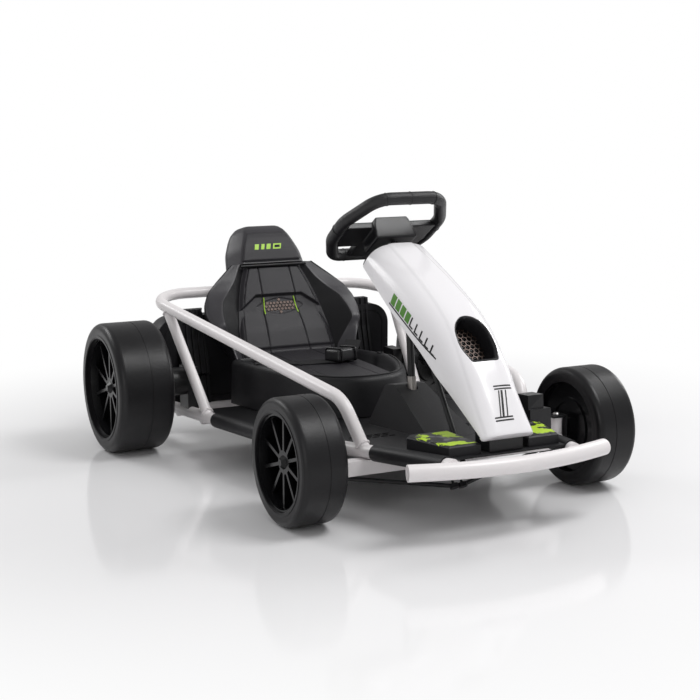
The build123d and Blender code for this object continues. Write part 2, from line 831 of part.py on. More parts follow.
box_rear_plane = Plane(origin=(0, box_front + box_depth, 0), x_dir=(1, 0, 0), z_dir=(0, -1, 0))
power_box = box_rear_plane * extrude(box_outline(0), box_depth)
panel_line = box_outline(box_line_inset) - box_outline(box_line_inset + box_line_w)
power_box -= box_rear_plane * extrude(panel_line, box_line_d)
power_box -= box_rear_plane * Pos(0, 0, box_depth - box_line_d) * extrude(panel_line, box_line_d)
power_box = power_box - pods[1] - pods[-1] - shell_hull
pieces["power_box"] = power_box

# Steering wheel, hub and shaft

wheel_plane = Plane(origin=wheel_centre, x_dir=(1, 0, 0), z_dir=shaft_dir)
grip_outline = [(-x, y, r) for x, y, r in grip_corners] + grip_corners[::-1]
grip_path = FilletPolyline(*[(x, y) for x, y, _ in grip_outline], radius=[r for _, _, r in grip_outline], close=True)
grip = swept(grip_path, grip_r)
hub_side = polygon([(-half, h) for half, h in wheel_hub_rows] + [(half, h) for half, h in reversed(wheel_hub_rows)])
hub_side = fillet(hub_side.vertices().group_by(Axis.Y)[-1], wheel_hub_round)
wheel_hub = Pos(0, wheel_hub_near, 0) * extrude(Plane.XZ * hub_side, wheel_hub_near - wheel_hub_far)
spoke_foot = -wheel_spoke_drop - wheel_spoke_t / 2
spoke_face = -wheel_spoke_drop + wheel_spoke_t / 2
spoke_reach = grip_corners[2][0]
wheel_hub += block(-spoke_reach, spoke_reach, wheel_spoke_far, wheel_spoke_near, spoke_foot, spoke_face)
wheel_hub += block(-wheel_web_half, wheel_web_half, wheel_spoke_near, grip_corners[3][1], spoke_foot, spoke_face)
hub_drop = -wheel_hub_rows[0][1]
pieces["steering_rim"] = wheel_plane * grip
pieces["steering_hub"] = wheel_plane * (wheel_hub - grip) - around_shaft(2 * hub_drop, -shaft_head, shaft_r)

pitman_plane = Plane(origin=on_shaft(shaft_length), x_dir=(1, 0, 0), z_dir=shaft_dir)
pitman = pitman_plane * extrude(polygon([
    (-pitman_top_half, pitman_top_half), (pitman_top_half, pitman_top_half),
    (pitman_foot_half, -steer_arm_reach - pitman_overhang),
    (-pitman_foot_half, -steer_arm_reach - pitman_overhang)]), pitman_t)
for sx in (1, -1):
    pitman -= pitman_plane * Pos(sx * pitman_pin_offset, -steer_arm_reach, 0) * Cylinder(
        tie_pin_r + pitman_hole_play, 10 * pitman_t)
pieces["steering_shaft"] = around_shaft(shaft_length, -shaft_head, shaft_r) + pitman

# Knuckles, kingpin bolts and tie rods

bracket_top = kingpin_tube_top + bracket_gap
bracket_foot = kingpin_tube_bottom - bracket_gap - bracket_t
front_axle_z = wheel_sizes["front"][1]
front_axle_end = wheel_sizes["front"][3] - wheel_sizes["front"][6] - axle_end_depth
kingpins = []
for sx in (1, -1):
    inner_x = sx * (kingpin_x - bracket_w / 2)
    outer_x = sx * (web_x + web_t)
    half = bracket_depth / 2
    arm_x = sx * (kingpin_x + steer_arm_offset)
    knuckle = block(inner_x, outer_x, -half, half, bracket_top, bracket_top + bracket_t)
    knuckle += block(inner_x, outer_x, -half, half, bracket_foot, bracket_foot + bracket_t)
    knuckle += block(sx * web_x, outer_x, -half, half, bracket_foot, bracket_top + bracket_t)
    knuckle += block(arm_x - steer_arm_w / 2, arm_x + steer_arm_w / 2, 0, steer_arm_reach + steer_arm_w / 2,
                     bracket_foot, bracket_foot + bracket_t)
    knuckle += rod((sx * web_x, 0, front_axle_z), (sx * front_axle_end, 0, front_axle_z), axle_r)
    knuckle -= rod((sx * kingpin_x, 0, 0), (sx * kingpin_x, 0, 2 * front_axle_z), kingpin_bolt_r + axle_play)
    pin_foot = bracket_foot - tie_eye_t - tie_pin_tail
    knuckle += rod((arm_x, steer_arm_reach, pin_foot), (arm_x, steer_arm_reach, bracket_foot), tie_pin_r)
    pieces["knuckle_" + side_name(sx)] = knuckle

    head_z = bracket_top + bracket_t + seat_gap
    bolt = rod((sx * kingpin_x, 0, bracket_foot - kingpin_tail), (sx * kingpin_x, 0, head_z), kingpin_bolt_r)
    head = Pos(sx * kingpin_x, 0, head_z) * Cylinder(
        kingpin_head_r, kingpin_head_h, align=(Align.CENTER, Align.CENTER, Align.MIN))
    kingpins.append(bolt + chamfer(head.edges().group_by(Axis.Z)[-1], kingpin_head_bevel))

    outer = Vector(arm_x, steer_arm_reach, bracket_foot - tie_pin_gap - tie_eye_t / 2)
    pin_mid = on_shaft(shaft_length) + Vector(
        sx * pitman_pin_offset, math.cos(tilt) * steer_arm_reach, -math.sin(tilt) * steer_arm_reach)
    inner = pin_mid - shaft_dir * (tie_axial_gap + tie_eye_t / 2)
    nut_foot = pin_mid + shaft_dir * (pitman_t + tie_axial_gap)
    nut_top = nut_foot + shaft_dir * tie_nut_t
    eye_half = Vector(0, 0, tie_eye_t / 2)
    tie = rod(inner, outer, tie_rod_r)
    tie += rod(inner - shaft_dir * tie_eye_t / 2, inner + shaft_dir * tie_eye_t / 2, tie_eye_r)
    tie += rod(outer - eye_half, outer + eye_half, tie_eye_r)
    tie += rod(inner, nut_top, tie_pin_r)
    tie += rod(nut_foot, nut_top, tie_nut_r)
    tie -= rod(outer - eye_half * 2, outer + eye_half * 2, tie_pin_r + axle_play)
    pieces["tie_rod_" + side_name(sx)] = tie
pieces["kingpin_bolts"] = kingpins

# Lap belt: two straps from the sides of the cushion to the buckle that lies on it

cushion_edge = cushion_front + cushion_front_h
cushion_rise = math.atan2(cushion_rear_h - cushion_front_h, cushion_rear - cushion_edge)


def on_cushion(flat):
    """Place a shape drawn at z = 0, with y from the front axle, on the top of the cushion."""
    back = Pos(0, -cushion_edge, 0) * flat
    return deck(Pos(0, cushion_edge, base_mid + cushion_front_h) * Rot(X=math.degrees(cushion_rise)) * back)


def strap(points):
    """A flat strap along points on the cushion."""
    points = [(x, seat_joint_y - ahead) for x, ahead in points]
    outline = Sketch()
    for (x0, y0), (x1, y1) in zip(points, points[1:]):
        run = math.hypot(x1 - x0, y1 - y0)
        turn = math.degrees(math.atan2(y1 - y0, x1 - x0))
        outline += Pos((x0 + x1) / 2, (y0 + y1) / 2) * Rot(Z=turn) * Rectangle(run, belt_w)
    for x, y in points[1:-1]:
        outline += Pos(x, y) * Circle(belt_w / 2)
    return on_cushion(extrude(outline, belt_t))


buckle = on_cushion(Pos(buckle_x, seat_joint_y - buckle_ahead, 0) * Rot(Z=buckle_turn) * extrude(
    RectangleRounded(buckle_l, buckle_w, buckle_round), buckle_t))
pieces["belt_buckle"] = chamfer(buckle.faces().sort_by(Axis.Z)[-1].edges(), buckle_round / 2)
pieces["lap_belts"] = [strap(belt_near) - buckle, strap(belt_far) - buckle]

# Wheels


def about_axle(points):
    return revolve(Plane.XZ * polygon(points), Axis.X)


def make_tyre(radius, width, rim_radius, shoulder):
    """A tyre about the X axis, its outer face at x = 0 and its inner face at x = -width."""
    ring = Pos(-width / 2, (radius + rim_radius) / 2) * Rectangle(width, radius - rim_radius)
    ring = fillet(ring.vertices().group_by(Axis.Y)[-1], shoulder)
    ring += Pos(0, rim_radius + sidewall_ring_w) * Rectangle(2 * sidewall_ring_h, sidewall_ring_w)
    groove = Pos(-width * parting_place, radius) * Rectangle(parting_groove_w, 2 * parting_groove_depth)
    return revolve(Plane.XZ * (ring - groove), Axis.X)


def make_rim(width, rim_radius, recess):
    """A deep dish with thin spokes; its outer face is the recess behind the tyre's."""
    r = rim_radius - tyre_gap
    bore = axle_r + axle_play
    face = -recess
    back = -width + rim_disc_inset
    disc = back + rim_disc_t
    boss = -width + rim_boss_inset
    step = (rim_boss_r + r) / 2
    dish = about_axle([
        (face, r), (face, r - rim_lip_t), (face - rim_lip_depth, r - rim_barrel_t), (disc, r - rim_barrel_t),
        (disc, bore), (boss, bore), (boss, rim_boss_r), (back, rim_boss_r), (back, step - rim_step_t),
        (back - rim_disc_t, step - rim_step_t), (back - rim_disc_t, step + rim_step_t), (back, step + rim_step_t),
        (back, r)])
    hub_face = face - hub_depth
    cap_face = hub_face + cap_h
    hub = about_axle([
        (disc, bore), (face - axle_end_depth, bore), (face - axle_end_depth, 0), (hub_face, 0), (hub_face, hub_r),
        (hub_face - hub_t, hub_r), (hub_face - 2 * hub_t, hub_core_r), (disc, hub_core_r)])
    cap = loft([
        Plane(origin=(hub_face, 0, 0), z_dir=(1, 0, 0)) * RegularPolygon(cap_r, cap_sides),
        Plane(origin=(cap_face, 0, 0), z_dir=(1, 0, 0)) * RegularPolygon(cap_r / 2, cap_sides)])
    rim = dish + hub + cap
    spoke_top = r - rim_barrel_t / 2
    for k in range(spoke_count):
        spoke = block(face - spoke_depth - spoke_t / 2, face - spoke_depth + spoke_t / 2,
                      -spoke_w / 2, spoke_w / 2, hub_r - hub_t / 2, spoke_top)
        rim += Rot(X=360 / spoke_count * k) * spoke
    return rim


for end, (y, radius, width, face_x, rim_radius, shoulder, recess) in wheel_sizes.items():
    for sx in (1, -1):
        place = Pos(sx * face_x, y, radius) * Rot(Z=0 if sx > 0 else 180)
        pieces[end + "_tyre_" + side_name(sx)] = place * make_tyre(radius, width, rim_radius, shoulder)
        pieces[end + "_rim_" + side_name(sx)] = place * make_rim(width, rim_radius, recess)

# Every node is saved with the origin under the middle of the whole kart

solids = {}
for name, shape in pieces.items():
    parts = shape if isinstance(shape, list) else [shape]
    solids[name] = [solid for part in parts for solid in part.solids()]
boxes = [solid.bounding_box() for group in solids.values() for solid in group]
middle_y = (min(box.min.Y for box in boxes) + max(box.max.Y for box in boxes)) / 2
for name, group in solids.items():
    moved = [Pos(0, -middle_y, 0) * solid for solid in group]
    export_step(Compound(children=moved) if len(moved) > 1 else moved[0], "parts/" + name + ".step")
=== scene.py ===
"""Looks of a child's electric drift kart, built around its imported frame.

Metres, in the frame's own axes: forward is -Y, +Z is up, the driver's left is +X.
Places along the kart are measured from the front axle, as in the frame's source.
"""

import json
import logging
import math
from dataclasses import dataclass, field, replace
from enum import Enum
from typing import Any, Callable, Iterable, Mapping, Sequence

import bmesh
import bpy
from mathutils import Matrix, Vector
from mathutils.bvhtree import BVHTree

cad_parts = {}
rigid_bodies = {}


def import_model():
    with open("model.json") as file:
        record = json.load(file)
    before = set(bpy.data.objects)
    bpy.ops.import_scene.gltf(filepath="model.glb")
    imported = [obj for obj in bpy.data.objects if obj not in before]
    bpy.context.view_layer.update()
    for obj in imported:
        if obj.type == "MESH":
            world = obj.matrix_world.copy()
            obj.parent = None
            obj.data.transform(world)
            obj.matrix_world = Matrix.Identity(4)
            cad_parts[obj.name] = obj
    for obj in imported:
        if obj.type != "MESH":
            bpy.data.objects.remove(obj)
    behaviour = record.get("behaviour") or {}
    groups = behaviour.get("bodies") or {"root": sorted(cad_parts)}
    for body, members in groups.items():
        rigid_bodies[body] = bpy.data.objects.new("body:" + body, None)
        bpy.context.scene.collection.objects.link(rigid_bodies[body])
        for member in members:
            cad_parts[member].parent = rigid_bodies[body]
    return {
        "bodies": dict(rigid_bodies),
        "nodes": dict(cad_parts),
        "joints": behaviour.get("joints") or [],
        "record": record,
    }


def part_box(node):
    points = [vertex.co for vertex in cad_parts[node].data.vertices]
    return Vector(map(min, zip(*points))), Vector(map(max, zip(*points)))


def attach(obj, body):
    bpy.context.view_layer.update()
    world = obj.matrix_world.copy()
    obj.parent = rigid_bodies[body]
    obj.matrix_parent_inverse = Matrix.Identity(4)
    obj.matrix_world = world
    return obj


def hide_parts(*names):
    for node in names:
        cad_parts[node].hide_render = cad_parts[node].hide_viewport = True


LOG = logging.getLogger("kart")
MM = 0.001
Colour = tuple[float, float, float]
Point2 = tuple[float, float]
Place3 = tuple[float, float, float]
# the height between the rows of a honeycomb, over its pitch
HEX_ROW = 0.866


class Wire:
    """One output of a node, with arithmetic that adds Math nodes."""

    def __init__(self, graph: "Graph", socket: bpy.types.NodeSocket | None) -> None:
        """Wrap a socket.

        Args:
            graph: The graph that holds the socket's node.
            socket: The output socket, or None for a node that has none.
        """
        self.graph = graph
        self.socket = socket

    def maths(self, operation: str, *values: "Wire | float", first: bool = True) -> "Wire":
        """Add a Math node.

        Args:
            operation: The node's operation.
            values: The other inputs.
            first: Whether this wire is the first input or the last.

        Returns:
            The node's output.
        """
        ordered = [self, *values] if first else [*values, self]
        return self.graph.node("ShaderNodeMath", {"operation": operation}, dict(enumerate(ordered)))

    def __add__(self, other: "Wire | float") -> "Wire":
        """Sum."""
        return self.maths("ADD", other)

    def __radd__(self, other: float) -> "Wire":
        """Sum with a number first."""
        return self.maths("ADD", other, first=False)

    def __sub__(self, other: "Wire | float") -> "Wire":
        """Difference."""
        return self.maths("SUBTRACT", other)

    def __rsub__(self, other: float) -> "Wire":
        """Difference with a number first."""
        return self.maths("SUBTRACT", other, first=False)

    def __mul__(self, other: "Wire | float") -> "Wire":
        """Product."""
        return self.maths("MULTIPLY", other)

    def __rmul__(self, other: float) -> "Wire":
        """Product with a number first."""
        return self.maths("MULTIPLY", other, first=False)

    def __lt__(self, other: "Wire | float") -> "Wire":
        """1 where this is less."""
        return self.maths("LESS_THAN", other)

    def __gt__(self, other: "Wire | float") -> "Wire":
        """1 where this is more, also where a number stands before a less-than sign."""
        return self.maths("GREATER_THAN", other)

    def __abs__(self) -> "Wire":
        """Size without sign."""
        return self.maths("ABSOLUTE")

    def power(self, exponent: float) -> "Wire":
        """This to an exponent."""
        return self.maths("POWER", exponent)

    def sine(self) -> "Wire":
        """Sine of radians."""
        return self.maths("SINE")

    def band(self, centre: float, half: float) -> "Wire":
        """1 within a half width of a centre."""
        return abs(self - centre) < half


class Graph:
    """The node graph of one material or of the world."""

    def __init__(self, owner: bpy.types.Material | bpy.types.World) -> None:
        """Empty the owner's graph.

        Args:
            owner: The material or world that the nodes belong to.
        """
        owner.use_nodes = True
        self.owner = owner
        self.tree = owner.node_tree
        self.tree.nodes.clear()

    def node(self, kind: str, settings: Mapping[str, Any] | None = None,
             sockets: Mapping[int | str, Any] | None = None, output: int | str = 0) -> Wire:
        """Add a node.

        Args:
            kind: The node's type.
            settings: Its properties, or the stops of a colour ramp, set first.
            sockets: Values or wires of its inputs, by index or name.
            output: Which output to return, by index or name.

        Returns:
            The chosen output.
        """
        made = self.tree.nodes.new(kind)
        for key, value in (settings or {}).items():
            if key == "stops":
                self._set_stops(made.color_ramp, value)
            else:
                setattr(made, key, value)
        for key, value in (sockets or {}).items():
            if isinstance(value, Wire):
                self.tree.links.new(value.socket, made.inputs[key])
            else:
                made.inputs[key].default_value = value
        return Wire(self, made.outputs[output]) if made.outputs else Wire(self, None)

    @staticmethod
    def _set_stops(ramp: bpy.types.ColorRamp, stops: Sequence[tuple[float, float]]) -> None:
        """Give a ramp its grey stops.

        Args:
            ramp: The ramp.
            stops: Position and grey of each.
        """
        ramp.elements[0].position, ramp.elements[1].position = stops[0][0], stops[-1][0]
        for element, (_, grey) in zip((ramp.elements[0], ramp.elements[1]), (stops[0], stops[-1])):
            element.color = (grey, grey, grey, 1)
        for position, grey in stops[1:-1]:
            ramp.elements.new(position).color = (grey, grey, grey, 1)

    def place(self) -> tuple[Wire, list[Wire]]:
        """The object's own coordinates.

        Returns:
            The vector, and its X, Y and Z.
        """
        vector = self.node("ShaderNodeTexCoord", output="Object")
        split = self.node("ShaderNodeSeparateXYZ", {}, {0: vector}).socket.node
        return vector, [Wire(self, socket) for socket in split.outputs]

    def noise(self, vector: Wire, scale: float, detail: float = 3.0) -> Wire:
        """Noise from 0 to 1."""
        inputs = {"Vector": vector, "Scale": scale, "Detail": detail}
        return self.node("ShaderNodeTexNoise", {}, inputs)

    def ramp(self, value: Wire, *stops: tuple[float, float]) -> Wire:
        """A grey ramp of a value."""
        return self.node("ShaderNodeValToRGB", {"stops": stops}, {0: value})

    def mix(self, share: Wire | float, first: Any, second: Any) -> Wire:
        """A mix of two colours."""
        inputs = {0: share, 6: first, 7: second}
        return self.node("ShaderNodeMix", {"data_type": "RGBA"}, inputs, output=2)


class Grain(Enum):
    """What the surface feels like up close, and the depth of its relief in metres."""

    SMOOTH = ("smooth", 0.00003)
    PEEL = ("sprayed paint", 0.00012)
    MOULDED = ("fine moulded texture", 0.00022)
    LEATHER = ("embossed leather", 0.00022)
    WEAVE = ("woven webbing", 0.0004)
    RUBBER = ("matt rubber", 0.00025)
    BRUSHED = ("turned metal", 0.00006)

    @property
    def depth(self) -> float:
        """The relief's depth."""
        return self.value[1]


@dataclass(frozen=True)
class Finish:
    """One finish, made from nodes."""

    name: str
    slot: str
    colour: Colour
    shade: Colour
    roughness: float
    grain: Grain = Grain.SMOOTH
    metallic: float = 0.0
    coat: float = 0.0
    specular: float = 0.5
    mottle_scale: float = 9.0
    spread: float = 0.06
    wheel_centre: Point2 | None = None
    rings: tuple[float, ...] = ()
    ring_half: float = 1.1 * MM
    ring_rise: float = 3.0

    def height(self, graph: Graph, vector: Wire, axes: list[Wire]) -> Wire:
        """The relief of the grain.

        Args:
            graph: The material's graph.
            vector: The object's coordinates.
            axes: Their X, Y and Z.

        Returns:
            The height, in shares of the grain's depth.
        """
        if self.grain is Grain.LEATHER:
            cells = graph.node("ShaderNodeTexVoronoi", {"feature": "DISTANCE_TO_EDGE"},
                               {"Vector": vector, "Scale": 420.0})
            creases = graph.ramp(cells, (0.0, 0.0), (0.22, 1.0))
            return creases * 0.7 + graph.noise(vector, 900.0) * 0.3
        if self.grain is Grain.WEAVE:
            weft = (axes[0] * 3600.0).sine() * (axes[1] * 3600.0).sine()
            return weft * 0.5 + 0.5
        if self.grain is Grain.PEEL:
            return graph.noise(vector, 260.0, 2.0)
        if self.grain is Grain.MOULDED:
            return graph.noise(vector, 1100.0, 4.0)
        if self.grain is Grain.RUBBER:
            return graph.noise(vector, 700.0, 5.0) + graph.noise(vector, 60.0) * 0.6
        if self.grain is Grain.BRUSHED:
            return (axes[2] * 2400.0).sine() * 0.5 + graph.noise(vector, 500.0)
        return graph.noise(vector, 120.0, 2.0)

    def build(self) -> bpy.types.Material:
        """Make the material.

        Returns:
            The material.
        """
        graph = Graph(bpy.data.materials.new(self.name))
        vector, axes = graph.place()
        height = self.height(graph, vector, axes)
        patches = graph.ramp(graph.noise(vector, self.mottle_scale, 5.0), (0.32, 0.0), (0.7, 1.0))
        speckle = graph.ramp(graph.noise(vector, 420.0, 2.0), (0.35, 0.0), (0.75, 1.0))
        share = patches * 0.6 + speckle * 0.4
        if self.wheel_centre is not None:
            across = axes[1] - self.wheel_centre[0]
            upward = axes[2] - self.wheel_centre[1]
            radius = (across * across + upward * upward).power(0.5)
            for ring in self.rings:
                height = height + radius.band(ring, self.ring_half) * self.ring_rise
        colour = graph.mix(share, (*self.colour, 1), (*self.shade, 1))
        least = self.roughness - 0.5 * self.spread
        roughness = patches * self.spread + speckle * (0.5 * self.spread) + least
        normal = graph.node("ShaderNodeBump", {}, {
            "Height": height, "Distance": self.grain.depth, "Strength": 1.0})
        shader = graph.node("ShaderNodeBsdfPrincipled", {}, {
            "Base Color": colour, "Roughness": roughness, "Metallic": self.metallic,
            "Coat Weight": self.coat, "Coat Roughness": 0.12, "Specular IOR Level": self.specular,
            "Normal": normal})
        graph.node("ShaderNodeOutputMaterial", {}, {0: shader})
        return graph.owner


@dataclass(frozen=True)
class Splash:
    """Splashes of two colours on a dark ground."""

    name: str
    slot: str
    ground: Colour
    bright: Colour
    grey: Colour
    size: float = 26.0
    offset: Colour = (0.37, 0.11, 0.05)

    def build(self) -> bpy.types.Material:
        """Make the material.

        Returns:
            The material.
        """
        graph = Graph(bpy.data.materials.new(self.name))
        vector, _ = graph.place()
        shifted = graph.node("ShaderNodeVectorMath", {"operation": "ADD"}, {0: vector, 1: self.offset})
        bright = graph.ramp(graph.noise(vector, self.size, 7.0), (0.485, 0.0), (0.50, 1.0))
        grey = graph.ramp(graph.noise(shifted, self.size * 1.7, 6.0), (0.56, 0.0), (0.575, 1.0))
        dark = graph.mix(grey, (*self.ground, 1), (*self.grey, 1))
        colour = graph.mix(bright, dark, (*self.bright, 1))
        fine = graph.noise(vector, 900.0)
        relief = graph.node("ShaderNodeBump", {}, {"Height": fine, "Distance": 0.00015})
        shader = graph.node("ShaderNodeBsdfPrincipled", {}, {
            "Base Color": colour, "Roughness": bright * 0.06 + 0.36, "Normal": relief})
        graph.node("ShaderNodeOutputMaterial", {}, {0: shader})
        return graph.owner


Cover = Finish | Splash


@dataclass
class Palette:
    """Every finish of the kart, made once and shared."""

    made: dict[str, bpy.types.Material] = field(default_factory=dict)

    def get(self, finish: Cover) -> bpy.types.Material:
        """The material of a finish.

        Args:
            finish: The finish.

        Returns:
            Its material.
        """
        if finish.name not in self.made:
            self.made[finish.name] = finish.build()
        return self.made[finish.name]


FRAME_PAINT = Finish("frame_paint", "white_tube", (0.80, 0.765, 0.77), (0.76, 0.73, 0.735), 0.36,
                     Grain.PEEL, coat=0.15, mottle_scale=5.0)
BODY_WHITE = Finish("body_white", "white_shell", (0.84, 0.825, 0.845), (0.81, 0.795, 0.815), 0.20,
                    Grain.SMOOTH, coat=0.3, mottle_scale=3.0, spread=0.03)
PLASTIC = Finish("black_plastic", "black_plastic", (0.008, 0.008, 0.0095), (0.012, 0.0115, 0.0135), 0.44,
                 Grain.MOULDED, specular=0.34)
PLASTIC_SATIN = Finish("satin_plastic", "black_plastic", (0.007, 0.007, 0.0085), (0.011, 0.0105, 0.012),
                       0.30, Grain.MOULDED, specular=0.40)
SEAT_SKIN = Finish("seat_skin", "seat_cover", (0.014, 0.013, 0.0158), (0.019, 0.0175, 0.0215), 0.42,
                   Grain.LEATHER, specular=0.36)
SEAT_DARK = Finish("seat_dark", "seat_cover", (0.0045, 0.0045, 0.0055), (0.007, 0.0066, 0.008), 0.46,
                   Grain.LEATHER, specular=0.20)
# a lighter grey, used for the painted sheen on the front bands of the shell's wings and for the whole
# headrest
SEAT_SHEEN_GREY = Finish("seat_sheen_grey", "seat_cover", (0.024, 0.0225, 0.0265), (0.031, 0.029, 0.034), 0.36,
                   Grain.MOULDED, specular=0.45)
GRIP_SKIN = Finish("grip_skin", "grip", (0.008, 0.0078, 0.009), (0.013, 0.0125, 0.0145), 0.36,
                   Grain.LEATHER, specular=0.42)
RIM_BLACK = Finish("rim_black", "rim_black", (0.003, 0.003, 0.0035), (0.005, 0.005, 0.006), 0.22,
                   Grain.SMOOTH, specular=0.26)
STEEL = Finish("bright_steel", "bright_bolt", (0.56, 0.55, 0.54), (0.44, 0.43, 0.42), 0.28,
               Grain.BRUSHED, metallic=1.0)
DARK_STEEL = Finish("dark_steel", "black_metal", (0.011, 0.011, 0.012), (0.017, 0.017, 0.018), 0.36,
                    Grain.SMOOTH, specular=0.45)
COLLAR = Finish("collar_metal", "steel", (0.42, 0.395, 0.375), (0.33, 0.31, 0.295), 0.40,
                Grain.BRUSHED, metallic=0.9)
COPPER = Finish("dark_copper", "mesh", (0.075, 0.050, 0.040), (0.045, 0.031, 0.026), 0.34,
                Grain.SMOOTH, metallic=0.55)
LIME = Finish("lime", "black_plastic", (0.36, 0.62, 0.02), (0.31, 0.55, 0.02), 0.40, Grain.MOULDED)
LEAF = Finish("leaf_green", "white_shell", (0.055, 0.20, 0.014), (0.09, 0.27, 0.018), 0.36, Grain.SMOOTH)
MARK_BLACK = Finish("mark_black", "black_plastic", (0.006, 0.006, 0.007), (0.010, 0.010, 0.011), 0.34,
                    Grain.SMOOTH, specular=0.3)
SPLASH = Splash("splash", "black_plastic", (0.007, 0.007, 0.008), (0.42, 0.62, 0.02), (0.11, 0.11, 0.115))
WEBBING = Finish("webbing", "webbing", (0.008, 0.008, 0.009), (0.014, 0.0135, 0.015), 0.62,
                 Grain.WEAVE, specular=0.3)


@dataclass
class Kart:
    """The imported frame, the shared materials and the ways to make a piece."""

    frame: dict[str, Any]
    palette: Palette = field(default_factory=Palette)
    deck_height: float = 115 * MM
    deck_angle: float = math.radians(4.2)
    seat_lean: float = math.radians(27.2)
    seat_joint: Point2 = (678 * MM, 183 * MM)
    crease: float = math.radians(42)

    def __post_init__(self) -> None:
        """Find the front axle and the record's slots."""
        low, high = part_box("front_tyre_left")
        self.axle_y = (low.y + high.y) / 2
        self.slots = {row["slot"] for row in self.frame["record"]["materials"]}

    def at(self, x: float, y: float, z: float) -> Vector:
        """A point with y from the front axle."""
        return Vector((x, y + self.axle_y, z))

    def on_deck(self, x: float, y: float, h: float) -> Vector:
        """A point along the sloping deck and a height over it."""
        c, s = math.cos(self.deck_angle), math.sin(self.deck_angle)
        return self.at(x, y * c + h * s, self.deck_height - y * s + h * c)

    def on_seat(self, x: float, v: float, d: float) -> Vector:
        """A point up the seat's back and a distance in front of it."""
        c, s = math.cos(self.seat_lean), math.sin(self.seat_lean)
        return self.at(x, self.seat_joint[0] + v * s - d * c, self.seat_joint[1] + v * c + d * s)

    def dress(self, obj: bpy.types.Object, finish: Cover) -> bpy.types.Object:
        """Give an object one finish.

        Args:
            obj: The object.
            finish: Its finish.

        Returns:
            The object.
        """
        obj.data.materials.clear()
        obj.data.materials.append(self.palette.get(finish))
        finish.slot in self.slots
        return obj

    def dress_nodes(self, finish: Cover, *nodes: str) -> None:
        """Give nodes of the frame a finish.

        Args:
            finish: The finish.
            nodes: The nodes' names.
        """
        for name in nodes:
            self.dress(self.frame["nodes"][name], finish)

    @staticmethod
    def shade(obj: bpy.types.Object, smooth: bool) -> None:
        """Shade all faces of an object smooth or flat."""
        obj.data.polygons.foreach_set("use_smooth", [smooth] * len(obj.data.polygons))

    def seat_mesh(self, name: str, mesh: bpy.types.Mesh, finish: Cover, body: str) -> bpy.types.Object:
        """Link a mesh as a dressed piece that rides on a body.

        Args:
            name: The piece's name.
            mesh: Its mesh.
            finish: Its finish.
            body: The body that it rides on.

        Returns:
            The new object.
        """
        obj = bpy.data.objects.new(name, mesh)
        bpy.context.scene.collection.objects.link(obj)
        self.shade(obj, True)
        self.dress(obj, finish)
        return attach(obj, body)

    def from_bmesh(self, name: str, made: bmesh.types.BMesh, finish: Cover,
                   body: str = "chassis") -> bpy.types.Object:
        """Turn a bmesh into a piece.

        Args:
            name: The piece's name.
            made: The bmesh, which is freed.
            finish: Its finish.
            body: The body that it rides on.

        Returns:
            The new object.
        """
        bmesh.ops.recalc_face_normals(made, faces=made.faces)
        mesh = bpy.data.meshes.new(name)
        made.to_mesh(mesh)
        made.free()
        obj = self.seat_mesh(name, mesh, finish, body)
        mesh.set_sharp_from_angle(angle=self.crease)
        return obj

    def loft(self, name: str, rings: Sequence[Sequence[Vector]], finish: Cover,
             body: str = "chassis") -> bpy.types.Object:
        """A closed solid through rings of equal counts.

        Args:
            name: The piece's name.
            rings: The points of each ring.
            finish: Its finish.
            body: The body that it rides on.

        Returns:
            The new object, whose faces run ring by ring and then the two ends.
        """
        made = bmesh.new()
        rows = [[made.verts.new(point) for point in ring] for ring in rings]
        for low, high in zip(rows, rows[1:]):
            count = len(low)
            for j in range(count):
                made.faces.new((low[j], low[(j + 1) % count], high[(j + 1) % count], high[j]))
        made.faces.new(rows[0])
        made.faces.new(rows[-1])
        return self.from_bmesh(name, made, finish, body)

    def paint(self, obj: bpy.types.Object, finish: Cover, faces: Iterable[int]) -> None:
        """Give some faces of an object a second finish.

        Args:
            obj: The object.
            finish: The second finish.
            faces: The faces' numbers.
        """
        obj.data.materials.append(self.palette.get(finish))
        for number in faces:
            obj.data.polygons[number].material_index = len(obj.data.materials) - 1

    def soften_edges(self, width: float, *nodes: str) -> None:
        """Round the hard edges of nodes of the frame a little.

        Args:
            width: The bevel's width.
            nodes: The nodes' names.
        """
        for name in nodes:
            obj = self.frame["nodes"][name]
            weld = obj.modifiers.new("weld", "WELD")
            weld.merge_threshold = 0.02 * MM
            bevel = obj.modifiers.new("edge", "BEVEL")
            bevel.width = width
            bevel.segments = 2
            bevel.limit_method = "ANGLE"
            bevel.angle_limit = math.radians(40)
            bevel.harden_normals = True

    def moulded(self, name: str, node: str, voxel: float, rounds: int, finish: Cover,
                body: str = "chassis") -> bpy.types.Object:
        """A copy of a node's solid with its edges rounded as a moulding's are.

        Args:
            name: The piece's name.
            node: The node that it stands for.
            voxel: The size of the remesh.
            rounds: How many times it is smoothed.
            finish: Its finish.
            body: The body that it rides on.

        Returns:
            The new object.
        """
        mesh = self.frame["nodes"][node].data.copy()
        obj = self.seat_mesh(name, mesh, finish, body)
        remesh = obj.modifiers.new("even", "REMESH")
        remesh.mode = "VOXEL"
        remesh.voxel_size = voxel
        smooth = obj.modifiers.new("round", "SMOOTH")
        smooth.factor = 0.5
        smooth.iterations = rounds
        self.apply_modifiers(obj)
        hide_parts(node)
        return obj

    def apply_modifiers(self, obj: bpy.types.Object) -> None:
        """Make an object's modifiers part of its mesh.

        Args:
            obj: The object.
        """
        bpy.context.view_layer.update()
        graph = bpy.context.evaluated_depsgraph_get()
        material = obj.data.materials[0]
        mesh = bpy.data.meshes.new_from_object(obj.evaluated_get(graph))
        obj.modifiers.clear()
        obj.data = mesh
        mesh.materials.clear()
        mesh.materials.append(material)
        self.shade(obj, True)

